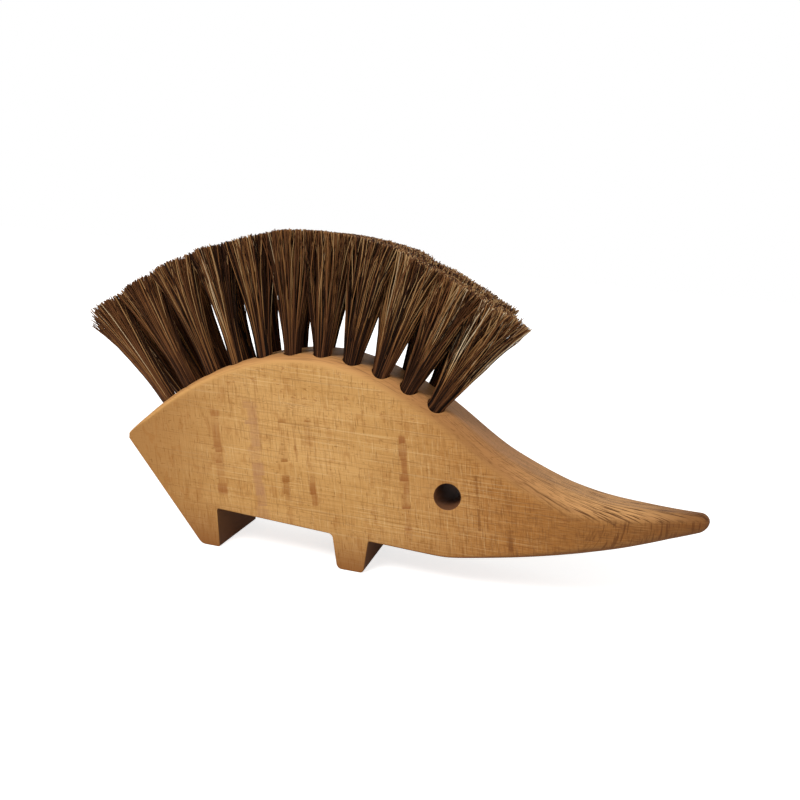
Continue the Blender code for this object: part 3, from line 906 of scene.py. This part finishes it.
    def under_path(self) -> Array:
        """The lower outline from the middle of the blunt tail to the tip, with its corners rounded."""
        corners = self.saw_corners()
        saw = rounded_path(corners[:, :2], corners[:, 2], self.fillet_steps)
        head = self.head_places(corners[-1, 0] + self.step)
        return np.concatenate([saw, np.stack([head, self.under_height(head)], axis=1)])

    def back_path(self) -> Array:
        """The upper outline from the middle of the blunt tail to the tip."""
        start = self.tail_run
        corners = np.array([
            (0.0, self.tail_height - self.tail_flat / 2),
            (0.0, self.tail_height),
            (start, float(self.back_height(np.array(start)))),
        ])
        tail = rounded_path(corners, np.array([0.0, self.tail_corner_radius, 0.0]), self.fillet_steps)
        places = self.head_places(start + self.tail_join)
        return np.concatenate([tail, np.stack([places, self.back_height(places)], axis=1)])

    def stations(self) -> tuple[Array, Array]:
        """Pairs of points on the two outlines that bound each cross-section. Sections stand square over the
        head, and lean as the rear foot's wall does where the feet are, so that no two cross.

        Returns:
            The upper and the lower points, one (x, z) a row each.
        """
        under, back = self.under_path(), self.back_path()
        lengths = path_lengths(under)
        parts = np.ceil(np.diff(lengths) / self.step).astype(int)
        parts[-self.dome_parts:] = 1
        owner = np.repeat(np.arange(len(parts)), parts)
        place = np.arange(len(owner)) - np.repeat(np.cumsum(parts) - parts, parts)
        travelled = lengths[owner] + np.diff(lengths)[owner] * place / parts[owner]
        travelled = np.append(travelled, lengths[-1])
        lower = along_path(under, travelled)

        chin = self.from_tail(self.chin_from_tip)
        saw = self.saw_corners()[1:-1, :2]
        wall = between(saw[:2], self.tail_mark / self.heel[0])
        corners = np.concatenate([saw[:1], [wall], saw[1:], [chin]])
        passed = lengths[nearest(corners, under)]
        over = back[self.fillet_steps:, 0]
        over_lengths = path_lengths(back)[self.fillet_steps:]
        reached = np.interp(np.append(self.section_tops, chin[0]), over, over_lengths)
        reached[0] = self.tail_flat / 2
        upper_travelled = np.interp(travelled, np.append(0.0, passed), np.append(0.0, reached))
        over_head = np.interp(lower[:, 0], over, over_lengths)
        upper_travelled = np.where(lower[:, 0] >= chin[0], over_head, upper_travelled)
        return along_path(back, upper_travelled), lower

    def surface(self) -> tuple[Array, list[list[int]]]:
        """The block's skin as a grid of cross-sections. Each is a rectangle with its four corners rounded: a
        corner starts on the outline, turns through a quarter circle of the edge's radius towards the inward
        normal, and ends on the flat side.

        Returns:
            The points and the faces, doubled where the ends close.
        """
        upper, lower = self.stations()
        count = len(upper)
        chin_at = self.length - self.chin_from_tip[0]
        upright = smooth_step(lower[:, 0], chin_at, chin_at + self.section_turn)[:, None]
        half = self.half_width(lower[:, 0])
        column = np.linalg.norm(upper - lower, axis=1)
        most = np.where(lower[:, 0] > chin_at, self.widest_rounding * np.minimum(half, column / 2), half)
        under_places = [self.throat[0], chin_at, self.length - self.bridge_from_tip[0]]
        under_radii = [self.saw_radius, self.chin_radius, self.nose_radius]
        under_radius = np.minimum(np.interp(lower[:, 0], under_places, under_radii), most)
        back_radius = np.minimum(self.back_radius(upper[:, 0]), most)

        arc = np.linspace(0.0, math.pi / 2, self.arc_parts + 1)
        inset, drawn_in = 1.0 - np.cos(arc), 1.0 - np.sin(arc)

        def corner(outline: Array, way: float, radius: Array) -> tuple[Array, Array]:
            """A rounded edge's (x, z) points and how far each lies inside the side face. The way in is -1
            for down and 1 for up."""
            normal = inward_normals(outline, way)
            normal[0] = (1.0, 0.0)
            normal = unit(normal * (1 - upright) + np.array([0.0, way]) * upright)
            places = outline[:, None] + (normal * radius[:, None])[:, None] * inset[None, :, None]
            return places, radius[:, None] * drawn_in[None]

        top_arc, top_in = corner(upper, -1.0, back_radius)
        low_arc, low_in = corner(lower, 1.0, under_radius)
        share = np.linspace(0.0, 1.0, self.side_parts + 1)[1:-1][None, :, None]
        side = top_arc[:, -1:] * (1 - share) + low_arc[:, -1:] * share
        right = np.concatenate([top_arc, side, low_arc[:, ::-1]], axis=1)
        right_in = np.concatenate([top_in, np.zeros(side.shape[:2]), low_in[:, ::-1]], axis=1)
        right_y = self.half_width(right[..., 0]) - right_in

        across = np.linspace(-1.0, 1.0, self.band_parts + 1)[1:-1]
        top_band = np.broadcast_to(upper[:, None], (count, len(across), 2))
        low_band = np.broadcast_to(lower[:, None], (count, len(across), 2))
        places = np.concatenate([right, low_band, right[:, ::-1], top_band], axis=1)
        widths = np.concatenate(
            [right_y, -across * right_y[:, -1:], -right_y[:, ::-1], across * right_y[:, :1]], axis=1
        )
        points = np.stack([places[..., 0], widths, places[..., 1]], axis=2)

        into_dome = np.clip((lower[:, 0] - (self.length - self.dome)) / self.dome, 0.0, 1.0)
        shrink = np.sqrt(1.0 - into_dome**2)[:, None]
        middle = ((upper[:, 1] + lower[:, 1]) / 2)[:, None]
        points[..., 1] *= shrink
        points[..., 2] = middle + (points[..., 2] - middle) * shrink
        return points.reshape(-1, 3), grid_faces(count, points.shape[1]).tolist()

    def eye_cutter(self) -> Mesh:
        """The drill through the eye, in place, flared at both faces to leave a softened lip: the flare's
        radius grows by a quarter circle of the lip's size."""
        radius, half, lip = self.eye_diameter / 2, self.thickness / 2, self.eye_lip
        turn = np.linspace(0.0, math.pi / 2, self.lip_parts + 1)
        flare = np.stack([radius + lip * (1 - np.cos(turn)), half - lip + lip * np.sin(turn)], axis=1)
        end = np.array([(radius + lip, half + self.margin), (0.0, half + self.margin)])
        upper = np.concatenate([flare, end])
        profile = np.concatenate([upper[::-1] * (1, -1), upper])
        points, faces = turned_solid(profile, self.eye_sides)
        turned = np.stack([points[:, 0], -points[:, 2], points[:, 1]], axis=1)
        centre = (self.tail + self.eye[0], 0.0, self.eye[1])
        return mesh_from("eye_cutter", turned + centre, faces, closed=True)

    def build(self, drills: list[Mesh]) -> None:
        """Makes the block, drills it and dresses it.

        Args:
            drills: Meshes of the drills that sink the tuft holes.
        """
        points, faces = self.surface()
        rough = mesh_from("beech_blank", points + (self.tail, 0.0, 0.0), faces, closed=True)
        blank = add_piece("beech_blank", rough)
        cutters = [add_piece(mesh.name, mesh) for mesh in [self.eye_cutter(), *drills]]
        for cutter in cutters:
            cut = blank.modifiers.new(cutter.name, "BOOLEAN")
            cut.operation = "DIFFERENCE"
            cut.solver = "MANIFOLD"
            cut.object = cutter
        graph = bpy.context.evaluated_depsgraph_get()
        mesh = bpy.data.meshes.new_from_object(blank.evaluated_get(graph))
        mesh.name = "beech_block"
        mesh.materials.clear()
        for spare in [blank, *cutters]:
            bpy.data.objects.remove(spare)
        mesh.shade_smooth()
        mesh.set_sharp_from_angle(angle=math.radians(self.sharp_from))
        material = self.finish.build(self.tail, self.length, (*self.eye, self.eye_diameter / 2))
        block = add_piece("beech_block", mesh, material)
        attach(block, BODY)
        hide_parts("body")
        log.info("%s: %d faces", block.name, len(mesh.polygons))


@dataclass(frozen=True)
class Seat:
    """Where a tuft stands: its distance from the tail, its height, its lean towards the nose, its row and its
    number in it. Towards_head runs from 0 for the first tuft of a row to 1 for the last."""

    at: float
    height: float
    lean: float
    row: Row
    number: int
    towards_head: float

    @property
    def label(self) -> str:
        """The tuft's row and number as the CAD nodes spell them."""
        return f"{self.row.name.lower()}_{self.number:02d}"


@dataclass
class TuftField:
    """Two rows of tufts: where the holes are, how the hair is folded into them and how it is trimmed. A pair
    is the value at the tail and the one at the head, if no comment says otherwise."""

    block: BeechBlock
    per_row: int = 11
    first_at: float = 0.0107
    pitches: Pair = (0.0085, 0.0092)
    row_spacing: float = 0.0172
    curve_points: int = 2000
    back_setback: float = 0.0043
    hole_diameter: float = 0.0055
    hole_depth: float = 0.0105
    drill_point: float = 0.0012
    drill_top: float = 0.003
    hole_sides: int = 32
    fan_centre_at: float = 0.0551
    fan_centre_below: float = 0.0101
    trim_centre_at: float = 0.0555
    trim_centre_below: float = 0.0002
    trim_radius: float = 0.0959
    trim_spread: float = 0.0001
    trim_passes: int = 3
    tail_trim: float = 0.0055
    tail_trim_turn: Pair = (44.5, 51.0)  # degrees from upright over which it eases in
    flat_trim: float = 0.0013
    tail_flat: tuple[Pair, Pair] = ((4.0, 16.0), (38.0, 46.0))  # degrees over which it eases in, and out
    head_flat: tuple[Pair, Pair] = ((13.0, 20.0), (31.0, 36.0))
    opening: Pair = (0.25, 0.6)  # share of the row over which the tufts go from closed to open
    bundle_radius: Pair = (0.0022, 0.0024)
    flare_out: float = 3.2
    flare_in: Pair = (3.2, 3.9)
    flare_across: float = 2.75
    flare_power: Pair = (2.1, 1.0)
    widest_flare: float = 1.12
    stray_power: float = 2.2
    folded_hairs: int = 290
    spare_roots: int = 4
    hair_radius: Pair = (0.00009, 0.00018)  # least and most
    locks: int = 26
    lock_spread: float = 0.55
    lock_shift: float = 0.0008
    jitter: float = 0.0008
    stray_share: float = 0.05
    stray_shift: float = 0.0026
    bow: float = 0.0008
    stray_bow: float = 0.0016
    wave: float = 0.0002
    wave_turn: float = 9.0
    widest_draw: float = 1.7
    tidy_from: Pair = (0.8, 0.4)
    short_share: float = 0.04
    most_short: float = 0.003
    unruly: Pair = (0.65, 1.8)
    tone_spread: float = 0.6
    tone_draw: Pair = (2.0, 2.4)  # powers of a beta draw, and so is the next
    own_draw: Pair = (2.0, 2.2)
    tone_weight: float = 0.32
    tone_middle: float = 0.45
    own_weight: float = 0.56
    own_middle: float = 0.48
    golden: Pair = (0.70, 0.90)  # darkest and lightest, and so is the next
    pale: Pair = (0.93, 1.0)
    middle_shade: Pair = (0.42, 0.33)
    contrast: Pair = (0.95, 2.1)
    golden_share: Pair = (0.10, 0.25)
    pale_share: Pair = (0.008, 0.012)
    # Painted shadow near each hair's root, and painted light over its upper part, stronger towards the head.
    painted_root_shadow: Pair = (0.85, 0.5)
    painted_shadow_reach: float = 0.5
    painted_tip_light: float = 0.28
    painted_light_from: float = 0.45
    fold_height: float = -0.0093
    fold_slope: float = 0.36
    fold_gap: float = 0.0006
    pinch: float = 0.97
    mouth_spread: float = 0.00004
    anchor_top: float = -0.0068
    anchor_clearance: float = 0.00035
    leg_shares: tuple[float, ...] = (0.0, 0.16, 0.33, 0.5, 0.68, 0.85, 0.985, 1.0)
    hair_sides: int = 3
    finish: Horsehair = Horsehair()
    seed: int = 71

    def seats(self) -> list[Seat]:
        """Each tuft's seat, at steps along the back's curve that grow evenly from the tail to the head, with
        every hole pointing at one centre below the table. The back row is set back towards the tail, so the
        rows stand staggered."""
        x = np.linspace(0.0, self.block.length, self.curve_points)
        travelled = path_lengths(np.stack([x, self.block.back_height(x)], axis=1))
        steps = np.append(0.0, np.cumsum(np.linspace(*self.pitches, self.per_row - 1)))
        seats = []
        for row in Row:
            first = np.interp(self.first_at, x, travelled) - (self.back_setback if row is Row.BACK else 0.0)
            places = np.interp(first + steps, travelled, x)
            heights = self.block.back_height(places)
            leans = np.arctan2(places - self.fan_centre_at, heights + self.fan_centre_below)
            for number, place in enumerate(zip(places, heights, leans), start=1):
                seats.append(Seat(*place, row, number, (number - 1) / (self.per_row - 1)))
        return seats

    def in_place(self, points: Array, seat: Seat) -> Array:
        """Takes points from a tuft's own frame, with Z out of the hole and Y across the brush, to the world.

        Args:
            points: Points whose last axis is x, y, z.
            seat: The tuft's seat.

        Returns:
            The points in the world.
        """
        cos, sin = math.cos(seat.lean), math.sin(seat.lean)
        turn = np.array([(cos, 0.0, sin), (0.0, 1.0, 0.0), (-sin, 0.0, cos)])
        sideways = seat.row.value * self.row_spacing / 2
        return points @ turn.T + (self.block.tail + seat.at, sideways, seat.height)

    def drills(self) -> list[Mesh]:
        """The drill for every hole, with its point, in place."""
        radius = self.hole_diameter / 2
        profile = np.array([
            (0.0, -self.hole_depth - self.drill_point),
            (radius, -self.hole_depth),
            (radius, self.drill_top),
            (0.0, self.drill_top),
        ])
        points, faces = turned_solid(profile, self.hole_sides)
        return [
            mesh_from(f"drill_{seat.label}", self.in_place(points, seat), faces, closed=True)
            for seat in self.seats()
        ]

    def draw(self, rng: np.random.Generator, shape: tuple[int, ...]) -> Array:
        """Normal draws with a spread of 1, of which the widest are held back."""
        return np.clip(rng.normal(0.0, 1.0, shape), -self.widest_draw, self.widest_draw)

    def leg_heights(self, roots: Array, slope: Array, seat: Seat) -> Array:
        """How far out legs that start at roots and lean outwards meet the arc that the hair is trimmed to, by
        the quadratic for a line and a circle. The shears come in past the arc's tail end, and a little on
        both of its flanks, so the circle shrinks there and the legs are met again.

        Args:
            roots: (x, y) of each leg at the hole's mouth.
            slope: (x, y) that each leg gains for each metre out.
            seat: The tuft's seat.

        Returns:
            One height a leg, in a column.
        """
        centre = np.array([seat.at - self.trim_centre_at, seat.height + self.trim_centre_below])
        out = np.array([math.sin(seat.lean), math.cos(seat.lean)])
        place = centre + roots[:, :1] * (out[1], -out[0])
        step = slope[:, :1] * (out[1], -out[0]) + out
        a, b = (step**2).sum(1), (place * step).sum(1)
        radius = np.full(len(roots), self.trim_radius)
        for _ in range(self.trim_passes):
            run = ((-b + np.sqrt(b**2 - a * ((place**2).sum(1) - radius**2))) / a)[:, None]
            tip = place + step * run
            turn = np.degrees(np.arctan2(-tip[:, 0], tip[:, 1]))
            radius = self.trim_radius - self.tail_trim * smooth_step(turn, *self.tail_trim_turn)
            for way, (starts, ends) in ((turn, self.tail_flat), (-turn, self.head_flat)):
                radius -= self.flat_trim * smooth_step(way, *starts) * (1.0 - smooth_step(way, *ends))
        return run

    def leg(self, rng: np.random.Generator, roots: Array, lock: Array, seat: Seat) -> Array:
        """The free parts of hairs, from the hole's mouth to the tip. A hair sets off square to the hole. Its
        even flare grows as a power of the share of the way out, and its own straying as a higher power, so
        the tuft is tight at its foot. Added to them are a bow, s^2(1-s), and a faint wave. On the side away
        from the middle of the brush both only turn inwards, and a hair that would end past the tuft's edge is
        mirrored back, so that edge is clean.

        Args:
            rng: The tuft's random draws.
            roots: (x, y) of each leg at the hole's mouth.
            lock: (x, y) by which the lock that each hair belongs to sets off at its tip.
            seat: The tuft's seat.

        Returns:
            Points by hair, level and axis.
        """
        count = len(roots)
        opening = smooth_step(seat.towards_head, *self.opening)
        unruly = between(self.unruly, seat.towards_head)
        bundle_radius = between(self.bundle_radius, opening)
        stray = (rng.random(count) < self.stray_share)[:, None]
        jitter = self.draw(rng, (count, 2)) * np.where(stray, self.stray_shift, self.jitter)
        along, up = seat.at - self.trim_centre_at, seat.height + self.trim_centre_below
        nominal = self.trim_radius - math.hypot(along, up)
        inward = np.where(roots[:, 0] * seat.lean < 0.0, between(self.flare_in, opening), self.flare_out)
        flare = np.stack([inward, np.full(count, self.flare_across)], axis=1)
        even = roots * (flare - 1.0) / nominal
        most = self.widest_flare * bundle_radius * (self.flare_out - 1.0) / nominal
        wild = (lock + jitter) * unruly / nominal
        away = np.sign(seat.lean)
        outward = (even + wild)[:, 0] * away
        wild[:, 0] -= away * 2.0 * np.maximum(outward - most, 0.0)
        short = np.where(rng.random(count) < self.short_share, rng.random(count) * self.most_short, 0.0)
        uneven = rng.normal(0.0, self.trim_spread, count) - short
        height = self.leg_heights(roots, even + wild, seat) + uneven[:, None]
        share = np.array(self.leg_shares)[None, :, None]
        bow = self.draw(rng, (count, 1, 2)) * np.where(stray, self.stray_bow, self.bow * unruly)[..., None]
        wave_phase = rng.random((count, 1, 1)) * 2 * math.pi
        wave_size = rng.normal(0.0, self.wave * unruly, (count, 1, 2))
        wave = wave_size * share * np.sin(wave_phase + share * self.wave_turn)
        sway = 4 * share**2 * (1 - share) * bow + wave
        outer = (roots[:, 0] * away > between(self.tidy_from, opening) * bundle_radius)[:, None]
        sway[..., 0] = np.where(outer, -away * np.abs(sway[..., 0]), sway[..., 0])
        opened = even[:, None] * share ** between(self.flare_power, opening)
        opened = opened + wild[:, None] * share**self.stray_power
        sideways = roots[:, None] + height[:, None] * opened + sway
        return np.concatenate([sideways, height[:, None] * share], axis=2)

    def hairs(self, rng: np.random.Generator, seat: Seat) -> tuple[Array, Array]:
        """Hairs folded under the anchor, tip to tip. Roots lie on a sunflower spiral on one side of the
        anchor, and each hair comes up again on the other side. The two halves close up at the mouth.

        Args:
            rng: The tuft's random draws.
            seat: The tuft's seat.

        Returns:
            Points by hair, level and axis, and the share of the way from mouth to tip at each level.
        """
        bundle_radius = between(self.bundle_radius, smooth_step(seat.towards_head, *self.opening))
        index = np.arange(self.spare_roots * self.folded_hairs)
        radius = bundle_radius * np.sqrt((index + 0.5) / len(index))
        angle = index * GOLDEN_ANGLE
        spiral = np.stack([radius * np.cos(angle), radius * np.sin(angle)], axis=1)
        near = spiral[spiral[:, 0] > self.anchor_clearance]
        near = near[rng.permutation(len(near))[: self.folded_hairs]]
        closed = (near[:, :1] - self.anchor_clearance) / (bundle_radius - self.anchor_clearance)
        mouth = np.concatenate([closed * bundle_radius, near[:, 1:]], axis=1)
        mouths = [mouth * way + rng.normal(0.0, self.mouth_spread, near.shape) for way in ((1, 1), (-1, 1))]
        lock_place = rng.normal(0.0, bundle_radius * self.lock_spread, (self.locks, 2))
        lock_shift = self.draw(rng, (self.locks, 2)) * self.lock_shift
        legs = [self.leg(rng, roots, lock_shift[nearest(roots, lock_place)], seat) for roots in mouths]

        levels = np.array([[self.anchor_top], [self.fold_height + self.fold_gap]])
        sides = np.broadcast_to(near[:, None] * self.pinch, (len(near), len(levels), 2))
        down = np.concatenate([sides, np.broadcast_to(levels, (len(near), len(levels), 1))], axis=2)
        up = down[:, ::-1] * (-1, 1, 1)
        depth = self.fold_height - self.fold_slope * np.abs(near[:, :1])
        turn = np.concatenate([np.zeros((len(near), 1)), near[:, 1:], depth], axis=1)[:, None]
        points = np.concatenate([legs[0][:, ::-1], down, turn, up, legs[1]], axis=1)
        inside = points.shape[1] - 2 * len(self.leg_shares)
        share = np.concatenate([self.leg_shares[::-1], np.zeros(inside), self.leg_shares])
        return points, share

    def shade(self, rng: np.random.Generator, points: Array, towards_head: float) -> Array:
        """One shade for each hair, from 0, near black, to 1, straw: hairs that end together are alike, some
        are golden and a few are pale. Towards the head the shades lie further apart.

        Args:
            rng: The tuft's random draws.
            points: The hairs' points.
            towards_head: The tuft's place in its row, from 0 at the tail to 1.

        Returns:
            One shade a hair.
        """
        golden_share = between(self.golden_share, towards_head)
        pale_share = between(self.pale_share, towards_head)
        places = rng.normal(0.0, self.bundle_radius[1] * self.tone_spread, (self.locks, 2))
        tones = rng.beta(*self.tone_draw, self.locks)
        tone = tones[nearest(points[:, len(self.leg_shares) - 1, :2], places)]
        own = rng.beta(*self.own_draw, len(points))
        off = self.tone_weight * (tone - self.tone_middle) + self.own_weight * (own - self.own_middle)
        plain = between(self.middle_shade, towards_head) + between(self.contrast, towards_head) * off
        kind = rng.random(len(points))
        light = np.where(kind < pale_share, between(self.pale, own), between(self.golden, own))
        return np.clip(np.where(kind < pale_share + golden_share, light, plain), 0.0, 1.0)

    def tuft(self, seat: Seat) -> Mesh:
        """One tuft's mesh: each hair a thin tube swept along its points, as radius times (cos, sin) in the
        plane square to the hair, closed at both ends.

        Args:
            seat: The tuft's seat.

        Returns:
            The mesh, with the shade of each point as an attribute: the hair's own shade, with painted shadow
            towards the root and painted light towards the tip.
        """
        rng = np.random.default_rng([self.seed, seat.number, seat.row.value + 1])
        points, share = self.hairs(rng, seat)
        count, levels = points.shape[:2]
        tangent = unit(np.gradient(points, axis=1))
        first = unit(np.cross(tangent, (0.0, 1.0, 0.0)))
        second = np.cross(tangent, first)
        radius = rng.uniform(*self.hair_radius, (count, 1, 1, 1))
        angle = (np.arange(self.hair_sides) * 2 * math.pi / self.hair_sides)[None, None, :, None]
        round_it = np.cos(angle) * first[:, :, None] + np.sin(angle) * second[:, :, None]
        world = self.in_place(points[:, :, None] + radius * round_it, seat).reshape(-1, 3)
        each = levels * self.hair_sides
        start = (np.arange(count) * each)[:, None, None]
        tubes = (start + grid_faces(levels, self.hair_sides)[None]).reshape(-1, 4)
        sides = np.arange(self.hair_sides)
        caps = np.concatenate([start[:, 0] + sides[::-1], start[:, 0] + each - self.hair_sides + sides])
        mesh = mesh_from(f"hair_{seat.label}", world, tubes.tolist() + caps.tolist())
        own = self.shade(rng, points, seat.towards_head)[:, None]
        painted_root_shadow = between(self.painted_root_shadow, seat.towards_head)
        # Painted shadow towards the root and painted light towards the tip, laid into the shade.
        shadow = between((painted_root_shadow, 1.0), smooth_step(share, 0.0, self.painted_shadow_reach))
        lift = self.painted_tip_light * seat.towards_head * smooth_step(share, self.painted_light_from, 1.0)
        shade = (own * shadow + (1.0 - own) * lift).repeat(self.hair_sides, axis=1)
        attribute = mesh.attributes.new(self.finish.attribute, "FLOAT", "POINT")
        attribute.data.foreach_set("value", shade.ravel().astype(np.float32))
        return mesh

    def build(self) -> None:
        """Makes every tuft and dresses it."""
        material = self.finish.build()
        for seat in self.seats():
            mesh = self.tuft(seat)
            piece = add_piece(mesh.name, mesh, material)
            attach(piece, BODY)
            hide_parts(f"tuft_{seat.label}")
            log.info("%s: %d faces", piece.name, len(mesh.polygons))


@dataclass
class Anchors:
    """The wire anchors at the bottom of the holes, which keep their CAD solids."""

    prefix: str = "anchor_"
    finish: AnchorSteel = AnchorSteel()

    def dress(self) -> None:
        """Gives every anchor node its steel."""
        material = self.finish.build()
        nodes = [node for name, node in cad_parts.items() if name.startswith(self.prefix)]
        for node in nodes:
            node.data.materials.clear()
            node.data.materials.append(material)
        log.info("anchors: %d dressed", len(nodes))


@dataclass(frozen=True)
class Lamp:
    """A square soft lamp: its name, where it hangs, its side and its power in watts."""

    name: str
    at: Triple
    size: float
    watts: float


@dataclass
class Studio:
    """A pale table top, soft lamps and the camera, at the photograph's angle."""

    tail: float
    camera_at: Triple = (0.1305, -0.2240, 0.0947)
    camera_turn: Triple = (78.826, -5.104, 13.757)  # degrees
    sensor: float = 36.0
    nearest_seen: float = 0.01
    floor_size: float = 6.0
    floor_colour: str = "F4F3F1"
    floor_lift: float = 0.72
    floor_fade: Pair = (0.1, 0.5)
    sky: float = 0.32
    lamps: tuple[Lamp, ...] = (
        Lamp("key_lamp", (-0.28, -0.60, 0.68), 0.35, 5.2),
        Lamp("fill_lamp", (0.55, -0.60, 0.35), 0.6, 1.3),
    )
    lit: Triple = (0.0, 0.0, 0.04)

    def add_floor(self) -> None:
        """A plain table top. Only the camera sees its added white, so the brush keeps its own shading."""
        half = self.floor_size / 2
        corners = np.array([(-half, -half, 0.0), (half, -half, 0.0), (half, half, 0.0), (-half, half, 0.0)])
        material, add = new_material("table_top")
        matt = add("BsdfDiffuse", (linear(self.floor_colour),))
        seen = add("LightPath").outputs["Is Camera Ray"]
        place = add("TexCoord").outputs["Object"]
        away = add("VectorMath", (place,), {"operation": "LENGTH"}).outputs["Value"]
        lift = add("MapRange", (away, *self.floor_fade, self.floor_lift, 1.0), EASED)
        glow = add("Emission", (WHITE, add("Math", (seen, lift), TIMES)))
        add("OutputMaterial", (add("AddShader", (matt, glow)),))
        add_piece("table_top", mesh_from("table_top", corners, [[0, 1, 2, 3]]), material)

    def add_sky(self) -> None:
        """An even white surround, at full white only for the camera and for gloss."""
        world = bpy.data.worlds.new("surround")
        bpy.context.scene.world = world
        world.use_nodes = True
        world.node_tree.nodes.clear()
        add = partial(add_node, world.node_tree)
        path = add("LightPath").outputs
        seen = (path["Is Camera Ray"], path["Is Glossy Ray"])
        seen = add("Math", seen, {"operation": "MAXIMUM"})
        strength = add("MapRange", {"Value": seen, "To Min": self.sky, "To Max": 1.0})
        add("OutputWorld", (add("Background", (WHITE, strength)),))

    def add_lamp(self, lamp: Lamp) -> None:
        """Hangs a lamp and aims it at the middle of the brush."""
        data = bpy.data.lights.new(lamp.name, "AREA")
        data.size = lamp.size
        data.energy = lamp.watts
        hung = add_piece(lamp.name, data)
        hung.location = lamp.at
        aim = Vector(self.lit) - Vector(lamp.at)
        hung.rotation_euler = aim.to_track_quat("-Z", "Y").to_euler()

    def add_camera(self) -> None:
        """The camera, whose lens is as long as its sensor is wide."""
        data = bpy.data.cameras.new("camera")
        data.sensor_width = self.sensor
        data.lens = self.sensor
        data.clip_start = self.nearest_seen
        camera = add_piece("camera", data)
        camera.location = Vector(self.camera_at) + Vector((self.tail, 0.0, 0.0))
        camera.rotation_euler = tuple(math.radians(angle) for angle in self.camera_turn)
        bpy.context.scene.camera = camera

    def build(self) -> None:
        """Sets the stage."""
        self.add_floor()
        self.add_sky()
        for lamp in self.lamps:
            self.add_lamp(lamp)
        self.add_camera()
        bpy.context.scene.view_settings.view_transform = "Standard"


def main() -> None:
    """Builds the brush piece by piece and sets the stage."""
    logging.basicConfig(level=logging.INFO, format="%(message)s")
    tail = float(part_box("body")[0][0])
    block = BeechBlock(tail)
    field = TuftField(block)
    block.build(field.drills())
    field.build()
    Anchors().dress()
    Studio(tail).build()


if __name__ == "__main__":
    main()
